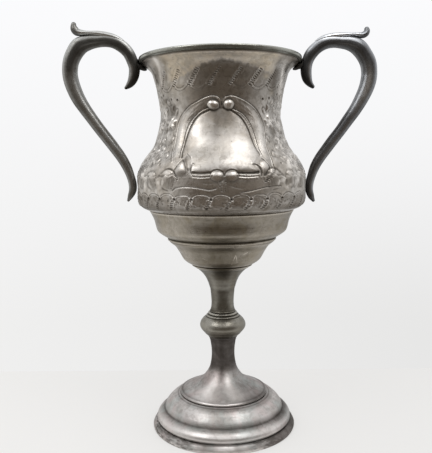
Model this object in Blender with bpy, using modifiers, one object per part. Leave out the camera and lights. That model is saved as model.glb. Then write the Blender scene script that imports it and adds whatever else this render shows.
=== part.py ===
"""Two-handled loving cup on a knopped stem, in spun and cast pewter.

Metres, +Z up.  The origin is the centre of the foot's resting face, the turned
axis is Z and the two handles lie in the XZ plane.

Every piece is a separate solid, as it would be on the bench before soldering:
rim moulding, bowl body, lower bowl, upper stem, knop, lower stem, foot dome,
foot ring, two cast handles with their solder lugs, and the two thumb leaves on
the handles' crowns.  The spun pieces lap into each other with a solder gap of
0.3 mm.

Heights in the profiles are measured from the widest line of the foot's base
band, which stands DATUM above the resting face.
"""
import math

import bmesh
import bpy
from mathutils import Vector

MM = 0.001

# ---------------------------------------------------------------- dimensions
DATUM = 1.5               # height of the profiles' zero line, mm
GAP = 0.3                 # solder gap between touching pieces, mm
WALL = 1.3                # spun sheet thickness, mm

FOOT_R = 46.0             # widest radius of the base band
FOOT_RING_TOP = 3.0
SKIRT_R = 28.2            # where the trumpet of the stem meets the foot dome
SKIRT_Z = 20.9
KNOP_R = 14.7             # widest radius of the knop
KNOP_Z = 64.6
KNOP_BOTTOM_Z = 57.6
KNOP_TOP_Z = 73.0
STEM_TOP_R = 15.3         # thin flange under the bowl
STEM_TOP_Z = 101.7
BOWL_BOTTOM_Z = 102.0
SEAM_Z = 138.9            # lap seam between lower bowl and bowl body
SEAM_R = 45.3
BELLY_R = 52.8
NECK_R = 37.0
LIP_R = 48.0              # edge of the spun lip, inside the rim moulding
LIP_Z = 231.9
RIM_R = 50.0              # outside of the rim moulding
RIM_TOP_Z = 232.2

LEAF_HALF_WIDTH = 3.2     # half the width of a thumb leaf, across the handle
LUG_HALF_WIDTH = 1.7      # half the width of the solder lug under the rim

SEG_LARGE = 36            # facets round the bowl and the foot
SEG_SMALL = 28            # facets round the stem and the knop

# Centre lines of the handles as (distance from axis, height, half thickness):
# hooked tail, round loop, then the long S down to the belly.  Each was bent and
# set by hand, so the right one is a little lower and a little fuller.
LEFT_BAR = [
    (58.3, 214.8, 1.0), (56.9, 215.9, 1.7), (55.0, 218.0, 2.5), (53.5, 221.2, 3.1),
    (52.8, 226.3, 3.4), (54.2, 231.5, 3.5), (56.6, 236.2, 3.6), (60.4, 239.8, 3.7), (65.1, 242.2, 3.6),
    (70.1, 242.9, 3.5), (75.2, 242.6, 3.65), (80.2, 241.8, 4.25), (85.4, 239.9, 5.35), (88.9, 235.6, 4.9),
    (91.2, 230.5, 4.75), (92.0, 225.0, 4.65),
    (91.6, 220.1, 4.6), (90.1, 214.7, 4.5), (87.4, 208.3, 4.25), (83.7, 202.2, 3.85), (79.4, 195.9, 3.6),
    (74.7, 189.3, 3.5), (70.0, 183.1, 3.45), (65.9, 177.5, 3.35), (62.2, 172.1, 3.2), (59.1, 166.4, 2.95),
    (56.9, 160.6, 2.6), (55.7, 155.6, 2.55), (55.8, 151.6, 2.4), (57.3, 148.0, 1.75), (58.7, 145.3, 0.8)]
RIGHT_BAR = [
    (57.8, 214.8, 1.2), (55.8, 216.8, 2.1), (54.2, 219.8, 3.0),
    (53.5, 224.9, 3.4), (54.3, 230.1, 3.5), (56.7, 234.9, 3.8), (60.5, 238.7, 3.8), (65.2, 241.3, 3.85),
    (70.4, 242.0, 3.6), (75.5, 241.6, 3.65), (80.7, 240.9, 4.25), (85.9, 238.7, 5.2), (89.6, 234.4, 4.9),
    (92.3, 229.3, 4.9), (93.2, 223.6, 4.8),
    (92.8, 218.5, 4.8), (91.2, 213.0, 4.6), (88.2, 206.6, 4.3), (84.6, 200.4, 3.95), (80.1, 194.1, 3.7),
    (75.4, 187.6, 3.5), (70.6, 181.5, 3.5), (66.4, 175.9, 3.4), (62.6, 170.7, 3.3), (59.3, 165.0, 3.05),
    (57.2, 159.2, 2.65), (55.9, 154.2, 2.6), (55.9, 150.2, 2.4), (57.1, 146.4, 2.0), (58.6, 143.7, 1.0)]

# Side view of the thumb leaves: a strap lying on the crown that swells, leaves
# it as a tangent and curls up at its tip.
LEFT_LEAF = [
    (63.6, 246.1, 0.3), (66.0, 246.85, 0.5), (70.0, 247.6, 0.8), (74.8, 247.85, 1.1), (78.2, 247.6, 1.25),
    (81.6, 247.5, 1.5), (84.6, 247.7, 1.95), (87.2, 248.3, 2.35), (88.5, 250.0, 2.5), (88.75, 252.0, 2.0),
    (88.85, 253.4, 1.2), (88.9, 254.3, 0.5)]
RIGHT_LEAF = [
    (64.1, 245.6, 0.3), (66.5, 246.2, 0.45), (70.5, 246.7, 0.7), (75.3, 246.65, 0.95), (78.9, 246.55, 1.05),
    (82.3, 246.4, 1.2), (85.5, 246.15, 1.5), (88.3, 245.6, 1.95), (90.8, 246.9, 2.15), (91.5, 248.8, 1.95),
    (91.3, 250.2, 1.65), (91.1, 250.9, 1.35)]

# Solder lug: a small web from the bar's inner side to the flare under the rim.
LUG = [(51.2, 226.4), (46.7, 225.2), (45.3, 226.2), (46.7, 227.3), (48.1, 228.4), (49.0, 228.6), (51.2, 228.6)]

# ------------------------------------------------------------------ clean up
for old in list(bpy.data.objects):
    bpy.data.objects.remove(old, do_unlink=True)

cup = bpy.data.collections.new("loving_cup")
bpy.context.scene.collection.children.link(cup)
tools = bpy.data.collections.new("union_tools")
bpy.context.scene.collection.children.link(tools)


def metal(name, colour, rough):
    mat = bpy.data.materials.new(name)
    mat.use_nodes = True
    shader = mat.node_tree.nodes["Principled BSDF"]
    shader.inputs["Base Color"].default_value = (*colour, 1.0)
    shader.inputs["Metallic"].default_value = 1.0
    shader.inputs["Roughness"].default_value = rough
    mat.diffuse_color = (*colour, 1.0)
    return mat


# ------------------------------------------------------------- shape helpers
def turned(name, profile, segments, mat):
    """Solid of revolution.  The profile is a list of (radius, height) in mm
    that runs up the inside and then down the outside.  It is a closed ring
    unless both its ends lie on the axis."""
    mesh = bpy.data.meshes.new(name)
    points = [(r * MM, 0.0, (z + DATUM) * MM) for r, z in profile]
    edges = [(i, i + 1) for i in range(len(points) - 1)]
    on_axis = profile[0][0] == 0.0 and profile[-1][0] == 0.0
    if not on_axis:
        edges.append((len(points) - 1, 0))
    mesh.from_pydata(points, edges, [])
    obj = bpy.data.objects.new(name, mesh)
    cup.objects.link(obj)
    screw = obj.modifiers.new("turn", "SCREW")
    screw.axis = "Z"
    screw.angle = 2.0 * math.pi
    screw.steps = segments
    screw.render_steps = segments
    screw.use_merge_vertices = True
    screw.merge_threshold = 0.00001
    screw.use_smooth_shade = True
    obj.data.materials.append(mat)
    return obj


def through(points, per_span):
    """Smooth curve through points of any dimension (Catmull-Rom)."""
    first = [2 * a - b for a, b in zip(points[0], points[1])]
    last = [2 * a - b for a, b in zip(points[-1], points[-2])]
    knots = [first] + [list(p) for p in points] + [last]
    out = []
    for i in range(1, len(knots) - 2):
        p0, p1, p2, p3 = knots[i - 1], knots[i], knots[i + 1], knots[i + 2]
        for k in range(per_span):
            t = k / per_span
            out.append(tuple(
                0.5 * (2 * b + (c - a) * t + (2 * a - 5 * b + 4 * c - d) * t * t
                       + (3 * b - a - 3 * c + d) * t ** 3)
                for a, b, c, d in zip(p0, p1, p2, p3)))
    out.append(tuple(points[-1]))
    return out


def flat_outline(name, outline, half_width, side, group):
    """Plate in the XZ plane: an outline of (distance from axis, height), given
    clockwise, with its thickness centred on the plane."""
    data = bpy.data.curves.new(name, "CURVE")
    data.dimensions = "2D"
    data.fill_mode = "BOTH"
    data.extrude = half_width * MM
    if side < 0:
        outline = outline[::-1]
    spline = data.splines.new("POLY")
    spline.points.add(len(outline) - 1)
    for point, (u, z) in zip(spline.points, outline):
        point.co = (side * u * MM, (z + DATUM) * MM, 0.0, 1.0)
    spline.use_cyclic_u = True
    obj = bpy.data.objects.new(name, data)
    obj.rotation_euler = (math.radians(90.0), 0.0, 0.0)
    group.objects.link(obj)
    return obj


def as_mesh(obj, group):
    """The curve as a welded mesh object of the same name and place."""
    bpy.context.view_layer.update()
    graph = bpy.context.evaluated_depsgraph_get()
    mesh = bpy.data.meshes.new_from_object(obj.evaluated_get(graph))
    work = bmesh.new()
    work.from_mesh(mesh)
    bmesh.ops.remove_doubles(work, verts=work.verts, dist=0.000005)
    bmesh.ops.recalc_face_normals(work, faces=work.faces)
    work.to_mesh(mesh)
    work.free()
    name, place = obj.name, obj.matrix_world.copy()
    bpy.data.objects.remove(obj, do_unlink=True)
    solid = bpy.data.objects.new(name, mesh)
    solid.matrix_world = place
    group.objects.link(solid)
    return solid


def handle(name, side, path, mat):
    """A cast bar of round section that thins to both ends, with its lug."""
    data = bpy.data.curves.new(name, "CURVE")
    data.dimensions = "3D"
    data.bevel_depth = MM
    data.bevel_resolution = 4
    data.use_fill_caps = True
    spline = data.splines.new("POLY")
    spline.points.add(len(path) - 1)
    for point, (u, z, half) in zip(spline.points, path):
        point.co = (side * u * MM, 0.0, (z + DATUM) * MM, 1.0)
        point.radius = half
    spline.use_smooth = True
    obj = bpy.data.objects.new(name, data)
    cup.objects.link(obj)
    bar = as_mesh(obj, cup)
    bar.data.materials.clear()
    bar.data.materials.append(mat)
    bar.data.shade_smooth()
    lug = as_mesh(flat_outline(name + "_lug", LUG, LUG_HALF_WIDTH, side, tools), tools)
    lug.hide_render = True
    lug.display_type = "WIRE"
    join = bar.modifiers.new("lug", "BOOLEAN")
    join.operation = "UNION"
    join.solver = "EXACT"
    join.object = lug
    return bar


def leaf_outline(centre):
    """Outline of a strap whose centre line is (distance, height, half)."""
    line = through(centre, 2)
    upper, lower = [], []
    for i, (u, z, half) in enumerate(line):
        a = line[max(i - 1, 0)]
        b = line[min(i + 1, len(line) - 1)]
        along = Vector((b[0] - a[0], b[1] - a[1])).normalized()
        normal = Vector((-along.y, along.x))
        upper.append((u + normal.x * half, z + normal.y * half))
        lower.append((u - normal.x * half, z - normal.y * half))
    return upper + lower[::-1]


def thumb_leaf(name, side, centre, mat):
    obj = flat_outline(name, leaf_outline(centre), LEAF_HALF_WIDTH, side, cup)
    obj.data.materials.append(mat)
    return obj


# ------------------------------------------------------------------ materials
BOWL = metal("bowl_plate", (0.40, 0.38, 0.35), 0.34)
TIER = metal("lower_bowl_plate", (0.36, 0.34, 0.30), 0.38)
RIM = metal("rim_plate", (0.38, 0.39, 0.38), 0.34)
STEM = metal("stem_plate", (0.34, 0.32, 0.29), 0.36)
FOOT = metal("foot_plate", (0.47, 0.45, 0.44), 0.33)
CAST = metal("handle_plate", (0.31, 0.31, 0.30), 0.34)

# ----------------------------------------------------------------- rim and bowl
# The moulding is a wire of stepped section soldered round the lip's edge.
rim_in = LIP_R + GAP
turned("rim_moulding", [
    (rim_in, 229.2), (rim_in, RIM_TOP_Z),
    (RIM_R - 0.5, RIM_TOP_Z), (RIM_R, RIM_TOP_Z - 0.5), (RIM_R, RIM_TOP_Z - 1.4),
    (RIM_R - 0.5, 230.2), (RIM_R - 0.3, 229.7), (RIM_R - 0.6, 229.2)],
    SEG_LARGE, RIM)

# Bowl body: everted lip, waisted neck, round belly, lower edge turned in.
body_in = [
    (SEAM_R, 140.6), (47.0, 141.3), (48.9, 142.4), (50.0, 143.6), (50.8, 145.4), (51.3, 149.0), (51.5, 154.0),
    (50.9, 160.0), (49.8, 164.6), (47.4, 169.2), (44.6, 172.9), (42.0, 176.0), (40.2, 179.2), (38.4, 184.6), (37.0, 190.0),
    (36.2, 193.6), (NECK_R - WALL, 198.6), (36.8, 206.0), (38.2, 214.2), (39.4, 219.0), (40.9, 224.0), (42.6, 226.4),
    (44.9, 228.4), (LIP_R - WALL, 230.0), (LIP_R - WALL, LIP_Z)]
body_out = [
    (LIP_R, LIP_Z), (LIP_R, 229.0), (46.5, 227.6), (44.6, 225.9), (42.7, 224.0), (41.6, 222.0), (40.5, 218.4),
    (39.5, 214.0), (38.2, 206.0), (NECK_R, 198.6), (37.6, 193.0), (38.3, 189.8), (39.9, 184.0), (41.6, 179.0), (43.6, 176.0),
    (46.1, 173.0), (48.6, 169.8), (50.6, 166.4), (52.0, 162.0), (BELLY_R - 0.1, 157.0), (BELLY_R, 152.0), (52.6, 148.0),
    (52.1, 144.6), (51.4, 142.9), (50.3, 141.7), (49.0, 140.9), (47.2, 139.9), (SEAM_R, SEAM_Z + GAP)]
turned("bowl_body", body_in + body_out, SEG_LARGE, BOWL)

# Lower bowl: two stepped tiers, closed below; its spigot stands up inside the
# body's turned-in edge.
lap_r = SEAM_R - GAP
lower_in = [
    (0.0, 103.4), (13.0, 103.4), (17.4, 104.6), (20.6, 106.4), (23.3, 108.8), (25.2, 112.0), (27.0, 115.0), (29.0, 117.9),
    (31.6, 120.3), (33.0, 122.0), (35.6, 124.1), (38.2, 126.2), (39.4, 128.2), (40.3, 131.2), (41.4, 135.0), (42.8, 137.9),
    (lap_r - WALL, 139.6), (lap_r - WALL, 142.0)]
lower_out = [
    (lap_r, 142.0), (lap_r, SEAM_Z), (SEAM_R, SEAM_Z), (45.1, 138.2), (44.1, 136.4), (43.0, 134.0), (42.2, 131.6),
    (41.6, 129.2), (40.9, 127.0), (39.6, 125.1), (37.4, 123.5), (35.0, 121.9), (34.4, 121.2), (33.9, 120.0), (32.9, 119.0),
    (30.7, 117.2), (29.2, 115.6), (27.6, 113.0), (25.9, 110.2), (24.8, 108.2), (22.6, 106.2), (20.0, 104.3), (18.5, 103.0),
    (16.9, BOWL_BOTTOM_Z), (0.0, BOWL_BOTTOM_Z)]
turned("lower_bowl", lower_in + lower_out, SEG_LARGE, TIER)

# ------------------------------------------------------------ stem and knop
# Upper stem: a hollow trumpet that opens to a thin flange under the bowl.
stem_foot_z = KNOP_TOP_Z + GAP
turned("upper_stem", [
    (6.0, stem_foot_z), (5.9, 78.0), (5.9, 84.0), (6.5, 89.0), (7.6, 93.0), (9.0, 96.0), (10.8, 98.9), (13.2, STEM_TOP_Z),
    (STEM_TOP_R, STEM_TOP_Z), (STEM_TOP_R, 101.2), (14.1, 100.1), (12.4, 98.2), (10.9, 96.0), (9.4, 93.0), (8.3, 89.6),
    (7.6, 86.0), (7.2, 82.4), (7.2, 78.6), (7.5, 75.8), (8.4, stem_foot_z)], SEG_SMALL, STEM)

# Knop: cast and bored, with a spigot into the stem above and below.
spigot = 6.0 - GAP
turned("knop", [
    (3.6, 54.0), (3.6, 76.5), (spigot, 76.5), (spigot, KNOP_TOP_Z),
    (8.5, KNOP_TOP_Z), (9.3, 72.5), (9.4, 71.7), (10.3, 71.3), (10.6, 70.5), (11.2, 70.0), (12.5, 68.9), (13.7, 67.4),
    (14.4, 66.0), (KNOP_R, KNOP_Z), (14.5, 63.2), (13.6, 61.6), (12.5, 60.3), (11.3, 58.8), (10.3, 58.0), (9.8, KNOP_BOTTOM_Z),
    (spigot, KNOP_BOTTOM_Z), (spigot, 54.0)], SEG_SMALL, STEM)

# Lower stem: hollow trumpet whose skirt stands on the foot dome.
top_z = KNOP_BOTTOM_Z - GAP
turned("lower_stem", [
    (27.5, 20.2), (24.6, 21.5), (20.0, 23.6), (15.6, 25.9), (11.9, 28.9), (9.5, 32.0), (7.8, 35.4), (6.7, 39.4),
    (6.1, 44.0), (6.0, 48.0), (6.0, top_z),
    (9.4, top_z), (8.8, 56.0), (8.2, 54.0), (7.7, 50.8), (7.4, 46.6), (7.5, 42.8), (8.1, 39.2), (9.2, 35.4), (10.9, 32.4),
    (13.2, 29.5), (16.5, 27.0), (20.4, 25.0), (24.2, 23.0), (26.4, 21.8), (SKIRT_R, SKIRT_Z), (28.2, 20.4)], SEG_SMALL, STEM)

# --------------------------------------------------------------------- foot
# Foot dome: shoulder that carries the skirt, broad round, cove and bead.
turned("foot_dome", [
    (41.3, FOOT_RING_TOP + GAP), (41.3, 6.4), (40.3, 7.6), (38.6, 8.6), (37.2, 9.8), (36.6, 11.4), (35.8, 12.9), (34.4, 14.4),
    (32.8, 15.7), (31.0, 17.0), (29.4, 18.0), (28.0, 18.6), (25.6, 18.6),
    (25.6, 19.9), (28.9, 19.9), (29.4, 19.5), (30.7, 19.0), (32.2, 18.0), (34.2, 16.5), (35.8, 15.0), (37.1, 13.5),
    (37.9, 12.2), (38.3, 10.9), (39.0, 10.0), (40.3, 9.2), (41.5, 8.2), (42.6, 6.9), (43.2, 5.6), (43.2, 4.4), (42.8, 3.6),
    (42.5, FOOT_RING_TOP + GAP)], SEG_LARGE, FOOT)

# Foot ring: the base band that the cup stands on.
turned("foot_ring", [
    (43.3, -DATUM), (42.8, 1.2), (41.0, 1.8), (41.0, FOOT_RING_TOP), (43.3, FOOT_RING_TOP), (44.3, 2.5), (45.1, 1.5),
    (45.8, 0.5), (FOOT_R, -0.3), (45.8, -1.0), (45.4, -DATUM)], SEG_LARGE, FOOT)

# ------------------------------------------------------------------ handles
handle("handle_left", -1.0, LEFT_BAR, CAST)
handle("handle_right", 1.0, RIGHT_BAR, CAST)
thumb_leaf("thumb_leaf_left", -1.0, LEFT_LEAF, CAST)
thumb_leaf("thumb_leaf_right", 1.0, RIGHT_LEAF, CAST)
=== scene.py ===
"""Looks of a two-handled pewter cup with embossed ornament.

Everything is in metres in the model's frame: the turned axis is Z, the handles
lie in the XZ plane and the front of the ornament faces -Y.  Profiles and
ornament below are written in millimetres and degrees, with heights measured
from the widest line of the base band, DATUM above the resting face.
"""
import math

import bpy
import numpy as np
from mathutils import Matrix, Vector


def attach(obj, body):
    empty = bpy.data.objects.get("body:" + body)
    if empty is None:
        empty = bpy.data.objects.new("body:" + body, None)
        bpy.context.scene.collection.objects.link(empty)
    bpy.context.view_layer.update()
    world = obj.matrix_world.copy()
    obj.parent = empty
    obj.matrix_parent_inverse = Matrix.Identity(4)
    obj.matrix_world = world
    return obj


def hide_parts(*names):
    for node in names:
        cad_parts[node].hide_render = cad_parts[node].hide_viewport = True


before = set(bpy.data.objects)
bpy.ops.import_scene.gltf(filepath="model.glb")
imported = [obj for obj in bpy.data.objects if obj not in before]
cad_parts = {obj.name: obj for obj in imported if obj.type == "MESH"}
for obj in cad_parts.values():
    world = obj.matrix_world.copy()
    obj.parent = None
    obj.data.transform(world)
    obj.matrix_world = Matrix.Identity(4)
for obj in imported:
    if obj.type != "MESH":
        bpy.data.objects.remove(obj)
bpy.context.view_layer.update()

MM = 0.001
DATUM = 1.5
rng = np.random.default_rng(1907)
scene = bpy.context.scene
looks = bpy.data.collections.new("cup_looks")
scene.collection.children.link(looks)
studio = bpy.data.collections.new("studio")
scene.collection.children.link(studio)

# --------------------------------------------------------------------- camera
# The camera stands in front of the cup, a little above its middle and looking
# slightly down.  TURN is how far the handles are turned out of the picture's
# plane, the left one towards the camera.
CAM_DISTANCE, CAM_HEIGHT = 0.3776, 0.1718
PITCH, ROLL, PAN, TURN = (math.radians(a) for a in (6.4, 0.65, 0.5615, 3.0))
FOCAL_PX, FRAME_W, FRAME_H = 597.0, 432, 453


def make_camera():
    forward = Vector((-math.sin(PAN) * math.cos(PITCH), math.cos(PAN) * math.cos(PITCH), -math.sin(PITCH)))
    right = Vector((math.cos(PAN), math.sin(PAN), 0.0))
    up = right.cross(forward)
    c, s = math.cos(ROLL), math.sin(ROLL)
    right, up = c * right - s * up, s * right + c * up
    axes = Matrix((right, up, -forward)).transposed().to_4x4()
    turn = Matrix.Rotation(-TURN, 4, "Z")
    data = bpy.data.cameras.new("camera")
    data.sensor_width = 36.0
    data.sensor_fit = "AUTO"
    data.lens = 36.0 * FOCAL_PX / max(FRAME_W, FRAME_H)
    data.clip_start = 0.01
    data.clip_end = 20.0
    cam = bpy.data.objects.new("camera", data)
    cam.matrix_world = turn @ Matrix.Translation((0.0, -CAM_DISTANCE, CAM_HEIGHT)) @ axes
    studio.objects.link(cam)
    scene.camera = cam


make_camera()
scene.view_settings.view_transform = "Standard"
scene.view_settings.look = "None"


# ------------------------------------------------------------- curve sampling
def spline(points, step):
    """Smooth curve through the points (any dimension), resampled every step of
    its first two coordinates' length."""
    pts = np.array(points, float)
    if len(pts) == 2:
        fine = np.linspace(pts[0], pts[1], 32)
    else:
        first, last = 2 * pts[0] - pts[1], 2 * pts[-1] - pts[-2]
        k = np.vstack([first, pts, last])
        seg = np.sqrt(np.maximum(np.linalg.norm(np.diff(k[:, :2], axis=0), axis=1), 1e-6))
        t = np.concatenate([[0.0], np.cumsum(seg)])
        fine = []
        for i in range(1, len(k) - 2):
            t0, t1, t2, t3 = t[i - 1:i + 3]
            for u in np.linspace(t1, t2, 24, endpoint=False):
                a1 = (t1 - u) / (t1 - t0) * k[i - 1] + (u - t0) / (t1 - t0) * k[i]
                a2 = (t2 - u) / (t2 - t1) * k[i] + (u - t1) / (t2 - t1) * k[i + 1]
                a3 = (t3 - u) / (t3 - t2) * k[i + 1] + (u - t2) / (t3 - t2) * k[i + 2]
                b1 = (t2 - u) / (t2 - t0) * a1 + (u - t0) / (t2 - t0) * a2
                b2 = (t3 - u) / (t3 - t1) * a2 + (u - t1) / (t3 - t1) * a3
                fine.append((t2 - u) / (t2 - t1) * b1 + (u - t1) / (t2 - t1) * b2)
        fine.append(pts[-1])
        fine = np.array(fine)
    length = np.concatenate([[0.0], np.cumsum(np.linalg.norm(np.diff(fine[:, :2], axis=0), axis=1))])
    count = max(2, int(round(length[-1] / step)) + 1)
    at = np.linspace(0.0, length[-1], count)
    return np.column_stack([np.interp(at, length, fine[:, j]) for j in range(fine.shape[1])])


def runs(*parts):
    """Joins smooth runs into one profile; where two runs meet there is an edge.
    Each part is (step, [points])."""
    out = []
    for step, pts in parts:
        p = spline(pts, step)
        if out and np.linalg.norm(out[-1][-1] - p[0]) < 1e-6:
            p = p[1:]
        out.append(p)
    return np.vstack(out)


# -------------------------------------------------------------- mesh building
def mesh_object(name, co, faces, uv=None, turn=None, **values):
    """co: (n, 3) in metres.  faces: list of index arrays of one width each.
    uv: per-corner map, turn and values: per-vertex attributes."""
    mesh = bpy.data.meshes.new(name)
    mesh.vertices.add(len(co))
    mesh.vertices.foreach_set("co", np.asarray(co, np.float32).ravel())
    loops = np.concatenate([f.ravel() for f in faces])
    sizes = np.concatenate([np.full(len(f), f.shape[1]) for f in faces])
    starts = np.concatenate([[0], np.cumsum(sizes)[:-1]])
    mesh.loops.add(len(loops))
    mesh.loops.foreach_set("vertex_index", loops.astype(np.int32))
    mesh.polygons.add(len(sizes))
    mesh.polygons.foreach_set("loop_start", starts.astype(np.int32))
    mesh.update(calc_edges=True)
    if uv is not None:
        layer = mesh.uv_layers.new(name="OFBake")
        layer.data.foreach_set("uv", np.asarray(uv, np.float32).ravel())
    if turn is not None:
        layer = mesh.attributes.new("turn", "FLOAT_VECTOR", "POINT")
        layer.data.foreach_set("vector", np.asarray(turn, np.float32).ravel())
    for key, value in values.items():
        layer = mesh.attributes.new(key, "FLOAT", "POINT")
        layer.data.foreach_set("value", np.asarray(value, np.float32).ravel())
    mesh.validate()
    mesh.shade_smooth()
    obj = bpy.data.objects.new(name, mesh)
    looks.objects.link(obj)
    return obj


def grid_faces(rows, cols, base=0, wrap_rows=False, wrap_cols=True):
    """Quads between successive rows of vertices; rows run down the outside."""
    i = np.arange(rows if wrap_rows else rows - 1)
    j = np.arange(cols if wrap_cols else cols - 1)
    ii, jj = np.meshgrid(i, j, indexing="ij")
    ni, nj = (ii + 1) % rows, (jj + 1) % cols
    return np.stack([base + ii * cols + jj, base + ni * cols + jj,
                     base + ni * cols + nj, base + ii * cols + nj], -1).reshape(-1, 4)


def arc(profile):
    return np.concatenate([[0.0], np.cumsum(np.linalg.norm(np.diff(profile, axis=0), axis=1))])


def normals_of(profile):
    """Outward normals of a profile that runs down the outside."""
    d = np.gradient(profile, axis=0)
    n = np.column_stack([-d[:, 1], d[:, 0]])
    return n / np.maximum(np.linalg.norm(n, axis=1, keepdims=True), 1e-9)


def lathe(name, profile, cols, body="root", node=None, mat=None, ring=True, wobble=0.0, paint=None):
    """Turned piece.  profile: (n, 2) of radius and height in mm, up the inside
    and down the outside.  With ring=False both ends lie on the axis.
    paint(angle from the front, height) gives tarnish with painted shade, and rubbed metal with painted highlights."""
    s = arc(profile)
    ang = np.linspace(0.0, 2 * math.pi, cols, endpoint=False)
    keep = profile if ring else profile[1:-1]
    keep_s = s if ring else s[1:-1]
    rows = len(keep)
    nrm = normals_of(profile)[0 if ring else 1:len(profile) if ring else -1]
    off = wobble * (np.sin(2 * ang + keep_s[:, None] * 0.05) + 0.6 * np.sin(3 * ang - keep_s[:, None] * 0.08 + 1.3))
    r = keep[:, :1] + nrm[:, :1] * off
    z = np.broadcast_to(keep[:, 1:] + DATUM, r.shape)
    co = np.stack([r * np.cos(ang), r * np.sin(ang), z], -1).reshape(-1, 3)
    faces = [grid_faces(rows, cols, wrap_rows=ring)]
    r0 = float(np.median(keep[:, 0]))
    turn = np.stack([np.broadcast_to(r0 * np.cos(ang), (rows, cols)),
                     np.broadcast_to(r0 * np.sin(ang), (rows, cols)),
                     np.broadcast_to(keep_s[:, None], (rows, cols))], -1).reshape(-1, 3)
    total = s[-1] + (np.linalg.norm(profile[0] - profile[-1]) if ring else 0.0)
    i = np.arange(rows if ring else rows - 1)
    j = np.arange(cols)
    ii, jj = np.meshgrid(i, j, indexing="ij")
    v0 = keep_s[ii] / total
    v1 = np.where(ii + 1 < rows, keep_s[(ii + 1) % rows] / total, 1.0)
    u0, u1 = jj / cols, (jj + 1) / cols
    uv = np.stack([np.stack([u0, v0], -1), np.stack([u0, v1], -1), np.stack([u1, v1], -1), np.stack([u1, v0], -1)], -2).reshape(-1, 2)
    if not ring:
        base = len(co)
        co = np.vstack([co, [[0, 0, profile[0, 1] + DATUM], [0, 0, profile[-1, 1] + DATUM]]])
        turn = np.vstack([turn, [[0, 0, s[0]], [0, 0, s[-1]]]])
        j = np.arange(cols)
        nj = (j + 1) % cols
        top = np.stack([np.full(cols, base), j, nj], -1)
        bottom = np.stack([(rows - 1) * cols + j, np.full(cols, base + 1), (rows - 1) * cols + nj], -1)
        faces += [top, bottom]
        u0, u1, um = j / cols, (j + 1) / cols, (j + 0.5) / cols
        va, vb = keep_s[0] / total, keep_s[-1] / total
        uv = np.vstack([uv,
                        np.stack([np.stack([um, 0 * um], -1), np.stack([u0, 0 * um + va], -1), np.stack([u1, 0 * um + va], -1)], -2).reshape(-1, 2),
                        np.stack([np.stack([u0, 0 * um + vb], -1), np.stack([um, 0 * um + 1], -1), np.stack([u1, 0 * um + vb], -1)], -2).reshape(-1, 2)])
    cav = cavity_of_profile(keep, keep_s)
    grime = np.repeat(np.clip(cav, 0, 1), cols)
    wear = np.repeat(np.clip(-cav, 0, 1), cols)
    stain, rub = np.zeros(rows * cols), np.zeros(rows * cols)
    if paint:
        front = (np.degrees(ang) + 90.0 + math.degrees(TURN) + 180.0) % 360.0 - 180.0
        a, b = paint(np.broadcast_to(front, (rows, cols)), np.broadcast_to(keep[:, 1:], (rows, cols)))
        # painted shade above 1 also goes into the darker dirt colour
        grime = np.clip(grime + np.clip(a.ravel() - 1.0, 0, 0.5), 0, 1)
        stain, rub = np.clip(a, 0, 1).ravel(), np.clip(b, 0, 1).ravel()
    if not ring:
        grime, wear, stain, rub = (np.concatenate([x, [0, 0]]) for x in (grime, wear, stain, rub))
    obj = mesh_object(name, co * MM, faces, uv, turn * MM, grime=grime, wear=wear, stain=stain, rub=rub)
    finish_piece(obj, body, node, mat)
    return obj


def cavity_of_profile(p, s, reach=0.9, gain=0.9):
    """Positive in grooves and inside corners, negative on beads and edges."""
    out = np.zeros(len(p))
    for i in range(len(p)):
        a = np.array([np.interp(s[i] - reach, s, p[:, 0]), np.interp(s[i] - reach, s, p[:, 1])])
        b = np.array([np.interp(s[i] + reach, s, p[:, 0]), np.interp(s[i] + reach, s, p[:, 1])])
        mid = (a + b) / 2 - p[i]
        d = b - a
        n = np.array([-d[1], d[0]]) / max(np.linalg.norm(d), 1e-6)
        out[i] = mid @ n / (0.25 * reach) * gain
    return out


def bell(x, centre, width):
    return np.exp(-((x - centre) / width) ** 2)


def ramp(x, lo, hi):
    """0 at lo, 1 at hi, eased."""
    t = np.clip((x - lo) / (hi - lo), 0, 1)
    return t * t * (3 - 2 * t)


def finish_piece(obj, body, node, mat):
    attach(obj, body)
    if node:
        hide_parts(node)
    if mat:
        obj.data.materials.append(mat)


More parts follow.
